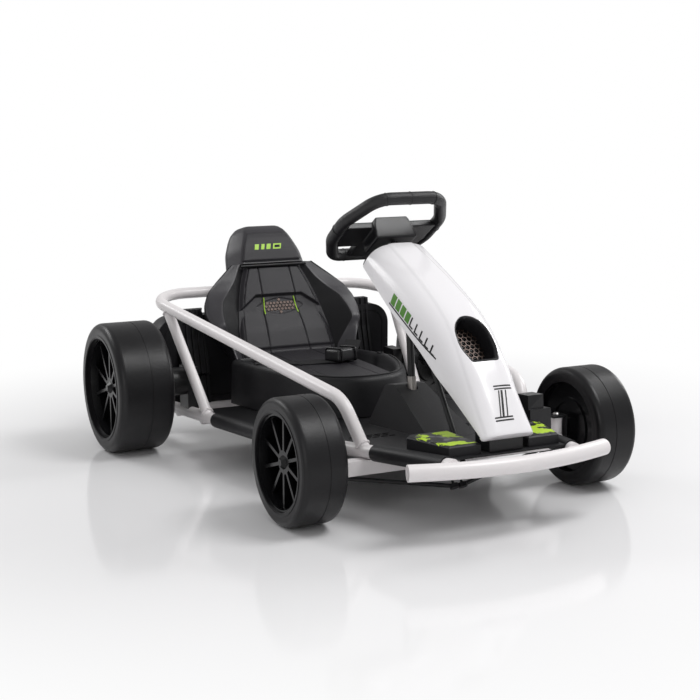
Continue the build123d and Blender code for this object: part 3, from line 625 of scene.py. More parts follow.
    @staticmethod
    def surface_of(*objects: bpy.types.Object) -> BVHTree:
        """A search tree of the surfaces of objects.

        Args:
            objects: The objects.

        Returns:
            The tree.
        """
        points: list[Vector] = []
        faces: list[list[int]] = []
        for obj in objects:
            start = len(points)
            points += [vertex.co.copy() for vertex in obj.data.vertices]
            faces += [[start + k for k in polygon.vertices] for polygon in obj.data.polygons]
        return BVHTree.FromPolygons(points, faces)

    def tube(self, name: str, path: Sequence[Vector], radius: float, finish: Cover,
             body: str = "chassis", closed: bool = False, sides: int = 10) -> bpy.types.Object:
        """A round bar along a path.

        Args:
            name: The piece's name.
            path: The points of its centre line.
            radius: Its radius.
            finish: Its finish.
            body: The body that it rides on.
            closed: Whether it is a ring.
            sides: Its sides.

        Returns:
            The new object.
        """
        made = bmesh.new()
        rings = []
        last = None
        for k, point in enumerate(path):
            before = path[k - 1] if closed or k else point
            after = path[(k + 1) % len(path)] if closed or k + 1 < len(path) else point
            ahead = (after - before).normalized()
            across = last - ahead * last.dot(ahead) if last else ahead.orthogonal()
            across.normalize()
            last = across
            over = ahead.cross(across)
            rings.append([made.verts.new(point + radius * (
                across * math.cos(2 * math.pi * j / sides) + over * math.sin(2 * math.pi * j / sides)))
                for j in range(sides)])
        pairs = list(zip(rings, rings[1:])) + ([(rings[-1], rings[0])] if closed else [])
        for first, second in pairs:
            for j in range(sides):
                made.faces.new((first[j], first[(j + 1) % sides], second[(j + 1) % sides], second[j]))
        if not closed:
            made.faces.new(rings[0])
            made.faces.new(rings[-1])
        return self.from_bmesh(name, made, finish, body)

    def slab(self, name: str, columns: int, rows: int, front: Callable[[float, float], Vector],
             back: Callable[[float, float], Vector], finish: Cover,
             body: str = "chassis") -> bpy.types.Object:
        """A closed pad between two surfaces.

        Args:
            name: The piece's name.
            columns: Steps across.
            rows: Steps along.
            front: The shown surface, from shares across and along.
            back: The hidden surface.
            finish: Its finish.
            body: The body that it rides on.

        Returns:
            The new object.
        """
        made = bmesh.new()
        sheets = []
        for surface in (front, back):
            sheets.append([[made.verts.new(surface(i / columns, j / rows)) for i in range(columns + 1)]
                           for j in range(rows + 1)])
        for sheet in sheets:
            for low, high in zip(sheet, sheet[1:]):
                for i in range(columns):
                    made.faces.new((low[i], low[i + 1], high[i + 1], high[i]))
        shown, hidden = sheets
        rim = [(0, i) for i in range(columns)] + [(j, columns) for j in range(rows)]
        rim += [(rows, i) for i in range(columns, 0, -1)] + [(j, 0) for j in range(rows, 0, -1)]
        for (j0, i0), (j1, i1) in zip(rim, rim[1:] + rim[:1]):
            made.faces.new((shown[j0][i0], shown[j1][i1], hidden[j1][i1], hidden[j0][i0]))
        return self.from_bmesh(name, made, finish, body)

    def sticker(self, name: str, outline: Sequence[Point2], spot: "Spot", target: BVHTree, finish: Cover,
                body: str = "chassis", pitch: float = 4 * MM) -> bpy.types.Object:
        """A thin mark that lies on a surface.

        Args:
            name: The piece's name.
            outline: Its corners in the spot's own plane.
            spot: Where it is drawn and which way it is pressed on.
            target: The surface that it lies on.
            finish: Its finish.
            body: The body that it rides on.
            pitch: The size of its facets.

        Returns:
            The new object.
        """
        made = bmesh.new()
        made.faces.new([made.verts.new((a, b, 0)) for a, b in outline])
        for axis in (0, 1):
            low = min(point[axis] for point in outline)
            high = max(point[axis] for point in outline)
            normal = (1, 0, 0) if axis == 0 else (0, 1, 0)
            for k in range(1, int((high - low) / pitch) + 1):
                centre = [0.0, 0.0, 0.0]
                centre[axis] = low + k * pitch
                bmesh.ops.bisect_plane(made, geom=made.verts[:] + made.edges[:] + made.faces[:],
                                       plane_co=centre, plane_no=normal)
        bmesh.ops.triangulate(made, faces=made.faces[:])
        for vertex in made.verts:
            start = spot.origin + spot.right * vertex.co.x + spot.up * vertex.co.y
            hit, face_normal, _, _ = target.ray_cast(start, spot.press)
            if hit is None:
                hit, face_normal, _, _ = target.find_nearest(start)
            outward = face_normal if face_normal.dot(spot.press) < 0 else -face_normal
            vertex.co = hit + outward * spot.lift
        return self.from_bmesh(name, made, finish, body)


@dataclass(frozen=True)
class Spot:
    """Where a mark is drawn: its plane's origin and directions, and the way it is pressed on."""

    origin: Vector
    right: Vector
    up: Vector
    press: Vector
    lift: float = 0.35 * MM


def soft_step(value: float) -> float:
    """A smooth step from 0 to 1 over 0 to 1."""
    t = min(1.0, max(0.0, value))
    return t * t * (3 - 2 * t)


def notch(offset: float, half: float) -> float:
    """A rounded groove of depth 1 about offset 0."""
    return math.exp(-(offset / half) ** 2)


def along(rows: Sequence[Point2], value: float) -> float:
    """A value read between the rows of a short table.

    Args:
        rows: Pairs of key and value, in order.
        value: The key.

    Returns:
        The value there.
    """
    for (k0, v0), (k1, v1) in zip(rows, rows[1:]):
        if value <= k1:
            return v0 + (v1 - v0) * min(1.0, max(0.0, (value - k0) / (k1 - k0)))
    return rows[-1][1]


def rounded(corners: Sequence[tuple[float, float, float]], steps: int = 4) -> list[Point2]:
    """A polygon with its corners rounded.

    Args:
        corners: x, y and radius of each corner.
        steps: Steps along each rounding.

    Returns:
        The points, the same number for every corner.
    """
    points: list[Point2] = []
    for k, (x, y, radius) in enumerate(corners):
        here = Vector((x, y))
        before = Vector(corners[k - 1][:2]) - here
        after = Vector(corners[(k + 1) % len(corners)][:2]) - here
        start = here + before.normalized() * min(radius, before.length * 0.48)
        end = here + after.normalized() * min(radius, after.length * 0.48)
        for j in range(steps + 1):
            t = j / steps
            spot = start * (1 - t) ** 2 + here * (2 * t * (1 - t)) + end * t ** 2
            points.append((spot.x, spot.y))
    return points


def row_at(rows: Sequence[tuple[float, ...]], key: float, soft: float = 0.0) -> list[float]:
    """The columns of a table at a key, read softly about its rows.

    Args:
        rows: Each row's key and values, in order of key.
        key: Where it is read.
        soft: How far round the key it is averaged.

    Returns:
        The values.
    """
    low, high = rows[0][0], rows[-1][0]
    near = min(soft, key - low, high - key)
    samples = [key - near, key, key + near] if near > 0 else [key]
    return [sum(along([(row[0], row[c]) for row in rows], k) for k in samples) / len(samples)
            for c in range(1, len(rows[0]))]


@dataclass
class Seat:
    """The bucket seat: moulded shell, back pad, headrest, base and cushion."""

    kart: Kart
    pad_half: tuple[Point2, ...] = ((-0.062, 0.111), (0.0, 0.115), (0.053, 0.109), (0.112, 0.098),
                                    (0.150, 0.087), (0.197, 0.069))
    pad_foot: float = -0.058
    pad_top: float = 0.199
    pad_back: float = -0.0085
    # v, floor's half width, wing's inner half width and depth, its outer half width and depth, back's depth
    shell_rows: tuple[tuple[float, ...], ...] = (
        (-0.062, 0.108, 0.112, -0.004, 0.142, 0.040, 0.030),
        (-0.002, 0.113, 0.119, -0.003, 0.151, 0.040, 0.034),
        (0.052, 0.109, 0.156, 0.034, 0.180, 0.030, 0.041), (0.082, 0.104, 0.153, 0.024, 0.186, 0.016, 0.044),
        (0.112, 0.098, 0.144, 0.014, 0.182, 0.010, 0.046), (0.140, 0.090, 0.120, 0.004, 0.168, 0.004, 0.048),
        (0.165, 0.082, 0.099, 0.000, 0.142, -0.001, 0.050),
        (0.203, 0.068, 0.078, -0.002, 0.098, -0.003, 0.056))
    shell_steps: int = 88
    # the faces round the shell painted a lighter grey on the front of each wing, a painted sheen
    sheen_band_faces: tuple[tuple[int, int], ...] = ((7, 13), (36, 42))
    # v, half width, front, back and the bevel beside the panel
    headrest_rows: tuple[tuple[float, ...], ...] = (
        (0.203, 0.101, 0.000, 0.060, 0.027), (0.240, 0.096, 0.002, 0.064, 0.031),
        (0.276, 0.081, -0.002, 0.064, 0.031), (0.293, 0.070, -0.010, 0.058, 0.024),
        (0.3005, 0.057, -0.020, 0.050, 0.020))
    headrest_steps: int = 30
    crown_shares: Point2 = (0.90, 0.70)
    headrest_shoulder: float = -0.040
    panel_half: tuple[Point2, ...] = ((0.206, 0.074), (0.242, 0.064), (0.279, 0.048))
    panel_corner: float = 0.009
    panel_rise: float = 3.2 * MM
    panel_crown: float = 0.8 * MM
    panel_edge: float = 0.0045
    # x and width of each bar of the headrest's mark, their half height and their slant
    mark_bars: tuple[Point2, ...] = ((-0.032, 0.010), (-0.017, 0.008), (-0.003, 0.010), (0.018, 0.020))
    mark_half: float = 0.0065
    mark_slant: float = 0.002
    tub_half: float = 0.158
    tub_rear: float = 0.640
    tub_front: float = 0.280
    # inset and height of each ring of the base, from its foot over the rim to the hollow's floor
    tub_rows: tuple[Point2, ...] = (
        (-0.004, 0.0110), (-0.003, 0.030), (0.000, 0.080), (0.001, 0.094), (0.0035, 0.101), (0.008, 0.1050),
        (0.014, 0.1055), (0.019, 0.1035), (0.0225, 0.0985), (0.026, 0.090), (0.034, 0.076),
        (0.045, 0.067), (0.062, 0.063))
    tub_fall: float = 0.016
    slot_half: Point2 = (0.0045, 0.0105)
    pad_crown: float = 2.0 * MM
    pad_roll: float = 7.0 * MM
    pad_roll_width: float = 0.013
    # depth and half width of each groove
    piping: Point2 = (2.2 * MM, 1.2 * MM)
    piping_inset: float = 0.011
    seam: Point2 = (2.4 * MM, 1.3 * MM)
    fold: Point2 = (3.2 * MM, 3.0 * MM)
    seam_rows: tuple[Point2, ...] = ((-0.06, 0.052), (0.02, 0.047), (0.115, 0.041), (0.2, 0.038))
    arch_flat_half: float = 0.056
    arch_flat_v: float = 0.129
    arch_slope: float = 0.74
    arch_depth: float = 0.0075
    lens_v: float = 0.101
    lens_half: float = 0.056
    lens_height: float = 0.0185
    lens_window: float = 0.034
    cell: float = 0.0085
    cushion_front: float = 0.300
    cushion_rear: float = 0.671
    cushion_rows: tuple[Point2, ...] = ((0.300, 0.080), (0.325, 0.100), (0.45, 0.107), (0.68, 0.114))
    cushion_low: float = 0.0625
    cushion_face: Point2 = (76 * MM, 32 * MM)
    cushion_length: float = 0.376
    cushion_crown: float = 3.0 * MM
    cushion_roll: float = 13 * MM
    cushion_roll_width: float = 0.020
    cushion_seam: Point2 = (2.4 * MM, 1.6 * MM)
    cushion_piping: Point2 = (2.0 * MM, 1.3 * MM)
    cushion_piping_inset: float = 0.012

    def arch_edge(self, x: float) -> float:
        """Height up the back of the arched edge of the recess."""
        return self.arch_flat_v - max(0.0, abs(x) - self.arch_flat_half) * self.arch_slope

    def lens_share(self, x: float, v: float) -> float:
        """0 at the middle of the lens badge and 1 on its edge."""
        return (abs(x) / self.lens_half) ** 1.5 + (abs(v - self.lens_v) / self.lens_height) ** 1.3

    def pad_depth(self, x: float, v: float) -> float:
        """How far the back pad's face stands out at a point.

        Args:
            x: Across the seat.
            v: Height up the back.

        Returns:
            The distance in front of the seat's plane.
        """
        half = along(self.pad_half, v)
        edge = min(half - abs(x), v - self.pad_foot, self.pad_top - v)
        depth = self.pad_crown * (1 - (x / half) ** 2)
        depth -= self.pad_roll * (1 - soft_step(edge / self.pad_roll_width)) ** 2
        depth -= self.piping[0] * notch(half - self.piping_inset - abs(x), self.piping[1])
        depth -= self.seam[0] * notch(abs(x) - along(self.seam_rows, v), self.seam[1])
        depth -= self.fold[0] * notch(v + 1 * MM, self.fold[1])
        inside = soft_step((self.arch_edge(x) - v) / 0.006) * soft_step((v - 0.035) / 0.06)
        depth -= self.arch_depth * inside
        depth -= 2.0 * MM * (1 - soft_step((self.lens_share(x, v) - 0.98) / 0.10))
        return max(depth, self.pad_back + 1 * MM)

    def build_back(self) -> None:
        """The back pad with its seams, recess and badge."""
        kart = self.kart

        def spread(a: float, b: float) -> Point2:
            """Across and up the back, from shares of the pad."""
            v = self.pad_foot + b * (self.pad_top - self.pad_foot)
            return (2 * a - 1) * along(self.pad_half, v), v

        def front(a: float, b: float) -> Vector:
            """A point of the pad's face."""
            x, v = spread(a, b)
            return kart.on_seat(x, v, self.pad_depth(x, v))

        def back(a: float, b: float) -> Vector:
            """A point of the pad's hidden side."""
            return kart.on_seat(*spread(a, b), self.pad_back)

        pad = kart.slab("back_pad", 170, 190, front, back, SEAT_SKIN)
        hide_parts("seat_back_pad")
        self.build_badge()
        LOG.info("back pad")

    def build_badge(self) -> None:
        """Honeycomb cells in the lens and the two lime lines beside them."""
        kart = self.kart
        made = bmesh.new()
        rows, columns = 4, 8
        for row in range(-rows, rows + 1):
            for column in range(-columns, columns + 1):
                x = self.cell * (column + 0.5 * (row % 2))
                v = self.lens_v + self.cell * HEX_ROW * row
                if self.lens_share(x, v) > 0.80 or abs(x) > self.lens_window:
                    continue
                ground = self.pad_depth(x, v)
                top, foot = ([made.verts.new(kart.on_seat(x + share * self.cell * math.cos(turn),
                                                          v + share * self.cell * math.sin(turn),
                                                          ground + rise))
                              for turn in (math.pi * (k / 3 + 1 / 6) for k in range(6))]
                             for share, rise in ((0.40, 1.2 * MM), (0.50, 0.2 * MM)))
                made.faces.new(top)
                made.faces.new(foot)
                for k in range(6):
                    made.faces.new((top[k], top[(k + 1) % 6], foot[(k + 1) % 6], foot[k]))
        kart.shade(kart.from_bmesh("badge_cells", made, COPPER), False)
        for side in (-1, 1):
            points = []
            for k in range(9):
                t = k / 8
                x = side * (0.0405 - 0.004 * t)
                v = self.lens_v - 0.0185 + 0.039 * t
                points.append(kart.on_seat(x, v, self.pad_depth(x, v) + 0.9 * MM))
            kart.tube(f"badge_line_{side_name(side)}", points, 1.15 * MM, LIME, sides=8)

    def shell_ring(self, v: float) -> list[Vector]:
        """A section across the shell, with its wings.

        Args:
            v: Height up the back.

        Returns:
            The ring's points, five for each corner.
        """
        floor, inner, rise, outer, wing, back = row_at(self.shell_rows, v, 0.005)
        # x, depth and rounding of each corner of the right half, from the middle outward
        right = [(floor, -0.009, 0.003), (inner, rise, 0.005), (outer, wing - 0.003, 0.010),
                 (outer + 0.002, 0.0, 0.012), (outer - 0.016, -back, 0.016)]
        left = [(-x, d, r) for x, d, r in reversed(right)]
        return [self.kart.on_seat(x, v, d) for x, d in rounded(right + left)]

    def headrest_ring(self, v: float) -> list[Vector]:
        """A section across the headrest.

        Args:
            v: Height up the back.

        Returns:
            The ring's points, five for each corner.
        """
        half, front, back, bevel = row_at(self.headrest_rows, v, 0.007)
        shoulder = min(self.headrest_shoulder, front - 0.010)
        # x, depth and rounding of each corner of the right half, from the front back
        right = [(half - bevel, front, 0.006), (half, shoulder, 0.014), (half - 0.016, -back, 0.022)]
        left = [(-x, d, r) for x, d, r in reversed(right)]
        return [self.kart.on_seat(x, v, d) for x, d in rounded(right + left)]

    def build_shell(self) -> None:
        """The dark shell, a painted sheen band on the front of each wing, the headrest and its front panel.
        """
        kart = self.kart
        low, high = self.shell_rows[0][0], self.shell_rows[-1][0]
        steps = self.shell_steps
        rings = [self.shell_ring(low + (high - low) * k / steps) for k in range(steps + 1)]
        shell = kart.loft("shell_moulding", rings, SEAT_DARK)
        count = len(rings[0])
        # the front band of each wing takes the lighter grey as a painted sheen
        band = [j for first, end in self.sheen_band_faces for j in range(first, end)]
        kart.paint(shell, SEAT_SHEEN_GREY, [k * count + j for k in range(steps) for j in band])
        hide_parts("seat_shell")
        low, high = self.headrest_rows[0][0], self.headrest_rows[-1][0]
        steps = self.headrest_steps
        rings = [self.headrest_ring(low + (high - low) * k / steps) for k in range(steps + 1)]
        top = self.headrest_ring(high)
        middle = sum(top, Vector()) / len(top)
        for share in self.crown_shares:
            rise = kart.on_seat(0, 0.0020 * (1.3 - share), 0) - kart.on_seat(0, 0, 0)
            rings.append([middle + (point - middle) * share + rise for point in top])
        head = kart.loft("headrest_moulding", rings, SEAT_SHEEN_GREY)
        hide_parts("headrest")
        self.build_panel()
        LOG.info("shell and headrest")

    def panel_point(self, a: float, b: float, lift: float) -> Vector:
        """A point of the headrest's panel.

        Args:
            a: Share across.
            b: Share up.
            lift: How far it stands out of the headrest, or below 0 for the hidden side.

        Returns:
            The point.
        """
        low, high = self.panel_half[0][0], self.panel_half[-1][0]
        v = low + b * (high - low)
        half = along(self.panel_half, v)
        end = min(v - low, high - v)
        reach = max(0.0, self.panel_corner - end)
        round_off = self.panel_corner - math.sqrt(max(0.0, self.panel_corner ** 2 - reach ** 2))
        x = (2 * a - 1) * (half - round_off)
        edge = min(half - abs(x), end)
        front = row_at(self.headrest_rows, v, 0.012)[1]
        crown = self.panel_rise * soft_step(edge / self.panel_edge)
        crown += self.panel_crown * (1 - (x / half) ** 2)
        return self.kart.on_seat(x, v, front + lift + (crown if lift > 0 else 0.0))

    def build_panel(self) -> None:
        """The raised panel of the headrest, a black strip below it as the painted shadow of the headrest's
        overhang, and its mark.
        """
        kart = self.kart
        panel = kart.slab("headrest_panel", 90, 60, lambda a, b: self.panel_point(a, b, 0.2 * MM),
                          lambda a, b: self.panel_point(a, b, -3 * MM), SEAT_SKIN)
        # a black tube along the foot of the headrest: painted shadow where the headrest overhangs the pad
        groove = [kart.on_seat(x, 0.1955, 0.004) for x in (-0.080, 0.080)]
        kart.tube("headrest_shadow_strip", groove, 3.4 * MM, MARK_BLACK)
        surface = kart.surface_of(panel)
        forward = kart.on_seat(0, 0, 1) - kart.on_seat(0, 0, 0)
        upward = kart.on_seat(0, 1, 0) - kart.on_seat(0, 0, 0)
        spot = Spot(kart.on_seat(0, 0.240, 0.09), Vector((1, 0, 0)), upward, -forward)
        tall, slant = self.mark_half, self.mark_slant
        for k, (x, wide) in enumerate(self.mark_bars):
            left, right = x - wide / 2, x + wide / 2
            outline = [(left - slant, -tall), (right - slant, -tall), (right + slant, tall),
                       (left + slant, tall)]
            kart.sticker(f"headrest_mark_{k}", outline, spot, surface, LIME)
        gap = [(0.011, -0.003), (0.024, -0.003), (0.0255, 0.003), (0.0125, 0.003)]
        kart.sticker("headrest_mark_gap", gap, replace(spot, lift=0.6 * MM), surface, SEAT_DARK)

    def tub_ring(self, inset: float, height: float) -> list[Vector]:
        """The outline of the base at a height.

        Args:
            inset: How far inside the full outline it runs.
            height: Its height over the deck at the rear.

        Returns:
            The ring's points.
        """
        half, rear = self.tub_half - inset, self.tub_rear - inset * 0.3
        front = self.tub_front + inset
        right = [(half, rear, 0.008), (half, front + 0.155, 0.110), (half * 0.50, front, 0.075)]
        outline = rounded(right + [(-x, y, radius) for x, y, radius in reversed(right)], 14)
        fall = self.tub_fall if height > 0.05 else 0.0
        return [self.kart.on_deck(x, y, height - fall * soft_step((0.50 - y) / 0.24)) for x, y in outline]

    def build_tub(self) -> None:
        """The moulded base with its rounded rim and the hollow that holds the cushion."""
        kart = self.kart
        rings = [self.tub_ring(inset, height) for inset, height in self.tub_rows]
        tub = kart.loft("seat_tub", rings, PLASTIC)
        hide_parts("seat_base")
        lip = [self.tub_ring(0.0105, 0.1062)[k] for k in range(20, 70)]
        kart.tube("tub_rim_bead", lip, 1.6 * MM, PLASTIC_SATIN, sides=8)
        for side in (-1, 1):
            centre = side * (self.tub_half - 0.0115)
            wide, long = self.slot_half
            loop = [kart.on_deck(centre + wide * math.cos(a), 0.520 + long * math.sin(a), 0.1064)
                    for a in (2 * math.pi * k / 24 for k in range(24))]
            kart.tube(f"tub_slot_{side_name(side)}", loop, 1.4 * MM, MARK_BLACK, closed=True, sides=6)
        LOG.info("seat base")

    def cushion_height(self, x: float, y: float) -> float:
        """Height of the cushion's face over the deck.

        Args:
            x: Across the seat.
            y: Along the deck, from the front axle.

        Returns:
            The height.
        """
        low, rise = self.cushion_face
        half = along(self.cushion_rows, y)
        edge = min(half - abs(x), (y - self.cushion_front) * 1.2)
        seam_x = 0.050 + 0.004 * (0.67 - y) / 0.3
        height = low + (y - self.cushion_front) / self.cushion_length * rise
        height += self.cushion_crown * (1 - min(1.0, abs(x) / half) ** 2)
        height -= self.cushion_roll * (1 - soft_step(edge / self.cushion_roll_width)) ** 2
        height -= self.cushion_seam[0] * notch(abs(x) - seam_x, self.cushion_seam[1])
        height -= self.cushion_piping[0] * notch(half - self.cushion_piping_inset - abs(x),
                                                 self.cushion_piping[1])
        return max(height, self.cushion_low + 1.5 * MM)

    def build_cushion(self) -> None:
        """The cushion with its seams."""
        kart = self.kart
        lean = math.tan(self.kart.seat_lean)

        def rear_limit(height: float) -> float:
            """Where the back pad stops the cushion at a height."""
            return self.cushion_rear - 0.002 + (height - 0.11) * lean

        def top(a: float, b: float) -> Vector:
            """A point of the cushion's face.

            Args:
                a: Share across.
                b: Share from front to rear.

            Returns:
                The point.
            """
            y = self.cushion_front + b * (self.cushion_rear - self.cushion_front)
            x = (2 * a - 1) * along(self.cushion_rows, y)
            height = self.cushion_height(x, y)
            return kart.on_deck(x, min(y, rear_limit(height)), height)

        def foot(a: float, b: float) -> Vector:
            """A point of the cushion's flat foot.

            Args:
                a: Share across.
                b: Share from front to rear.

            Returns:
                The point.
            """
            y = self.cushion_front + b * (self.cushion_rear - 0.035 - self.cushion_front)
            x = (2 * a - 1) * along(self.cushion_rows, y)
            return kart.on_deck(x, y, self.cushion_low)

        cushion = kart.slab("cushion", 110, 190, top, foot, SEAT_SKIN)
        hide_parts("seat_cushion")
        LOG.info("cushion")

    def build(self) -> None:
        """The whole seat."""
        self.build_shell()
        self.build_tub()
        self.build_back()
        self.build_cushion()
        self.kart.dress_nodes(FRAME_PAINT, "seat_saddles")


def inside(outline: Sequence[Point2], x: float, y: float) -> bool:
    """Whether a point lies inside an outline.

    Args:
        outline: Its corners.
        x: The point's place across.
        y: The point's place along.

    Returns:
        True if it lies inside.
    """
    found = False
    for (x0, y0), (x1, y1) in zip(outline, list(outline[1:]) + [outline[0]]):
        if (y0 > y) != (y1 > y) and x < x0 + (y - y0) * (x1 - x0) / (y1 - y0):
            found = not found
    return found


def side_name(side: float) -> str:
    """Left for +X and right for -X."""
    return "left" if side > 0 else "right"


@dataclass
class Belt:
    """The lap belt: webbing over the cushion and the buckle on it."""

    kart: Kart
    seat: Seat
    width: float = 36 * MM
    thick: float = 1.8 * MM
    near: tuple[Point2, ...] = ((-0.086, 0.548), (-0.062, 0.532), (-0.035, 0.519), (0.0, 0.510),
                                (0.030, 0.505))
    far: tuple[Point2, ...] = ((0.052, 0.518), (0.072, 0.530), (0.098, 0.552))
    far_rise: float = 34 * MM
    ripple: float = 0.8 * MM
    buckle_place: Point2 = (0.044, 0.508)
    buckle_turn: float = math.radians(20)
    buckle_size: Place3 = (62 * MM, 46 * MM, 27 * MM)
    rib_places: Point2 = (-0.34, 0.36)

    def strap(self, name: str, line: Sequence[Point2], rise: float = 0.0) -> bpy.types.Object:
        """A strap of webbing that follows the cushion.

        Args:
            name: The piece's name.
            line: Its centre line on the cushion.
            rise: How far its outer end stands over the cushion.

        Returns:
            The new object.
        """
        def centre(t: float) -> tuple[Vector, Vector]:
            """The centre line at a share of its length.

            Args:
                t: The share.

            Returns:
                The point on the deck's plane and the direction across the strap.
            """
            place = t * (len(line) - 1)
            k = min(int(place), len(line) - 2)
            first, second = Vector(line[k]), Vector(line[k + 1])
            ahead = (second - first).normalized()
            return first.lerp(second, place - k), Vector((-ahead.y, ahead.x))

        def surface(a: float, b: float, lift: float) -> Vector:
            """A point of the webbing.

            Args:
                a: Share across.
                b: Share along.
                lift: Height over its underside.

            Returns:
                The point.
            """
            middle, sideways = centre(b)
            spot = middle + sideways * (a - 0.5) * self.width
            ripple = self.ripple * math.sin(b * 9 + a * 2)
            ground = self.seat.cushion_height(max(-0.07, min(0.07, spot.x)), spot.y)
            return self.kart.on_deck(spot.x, spot.y, ground + lift + 1.2 * MM + ripple + rise * b * b)

        return self.kart.slab(name, 10, 40, lambda a, b: surface(a, b, self.thick),
                              lambda a, b: surface(a, b, 0.0), WEBBING)

    def block(self, name: str, size: Place3, place: Place3, bevel: float, segments: int, profile: float,
              taper: float, finish: Cover) -> bpy.types.Object:
        """A bevelled block of the buckle.

        Args:
            name: The piece's name.
            size: Its length, width and height.
            place: Its middle along and across the buckle, and its foot's height over the cushion.
            bevel: How far its edges are rounded.
            segments: Steps of the rounding.
            profile: The rounding's shape.
            taper: Share of its length and width that its top has.
            finish: Its finish.

        Returns:
            The new object.
        """
        x, y = self.buckle_place
        ground = self.seat.cushion_height(x, y)
        turn = Matrix.Rotation(self.buckle_turn, 4, "Z")
        made = bmesh.new()
        bmesh.ops.create_cube(made, size=1.0)
        for vertex in made.verts:
            narrow = taper if vertex.co.z > 0 else 1.0
            flat = turn @ Vector((vertex.co.x * size[0] * narrow + place[0],
                                  vertex.co.y * size[1] * narrow + place[1], 0))
            height = ground + place[2] + (vertex.co.z + 0.5) * size[2]
            vertex.co = self.kart.on_deck(x + flat.x, y + flat.y, height)
        bmesh.ops.bevel(made, geom=made.edges[:], offset=bevel, segments=segments, profile=profile,
                        affect="EDGES")
        return self.kart.from_bmesh(name, made, finish)

    def build(self) -> None:
        """Straps and buckle."""
        near = self.strap("belt_near", self.near)
        self.strap("belt_far", self.far, self.far_rise)
        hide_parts("lap_belts")
        x, y = self.buckle_place
        ground = self.seat.cushion_height(x, y)
        length, wide, tall = self.buckle_size
        turn = Matrix.Rotation(self.buckle_turn, 4, "Z")
        buckle = self.block("buckle_body", self.buckle_size, (0.0, 0.0, 2 * MM), 7 * MM, 5, 0.55, 0.88,
                            PLASTIC_SATIN)
        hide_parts("belt_buckle")
        self.block("buckle_button", (15 * MM, 25 * MM, 2.4 * MM), (-12 * MM, 0.0, tall + 1.2 * MM), 0.9 * MM,
                   2, 0.0, 1.0, MARK_BLACK)
        foot = wide / 2 + 1.5 * MM
        around = rounded([(-foot, 1 * MM, 5 * MM), (foot, 1 * MM, 5 * MM),
                          (wide / 2, tall + 2 * MM, 8 * MM), (-wide / 2, tall + 2 * MM, 8 * MM)], 6)
        for number, away in enumerate(self.rib_places):
            loop = []
            for sideways, height in around:
                flat = turn @ Vector((away * length, sideways, 0))
                loop.append(self.kart.on_deck(x + flat.x, y + flat.y, ground + 1.5 * MM + height))
            self.kart.tube(f"buckle_rib_{number}", loop, 2.2 * MM, PLASTIC_SATIN, closed=True)
        LOG.info("belt")


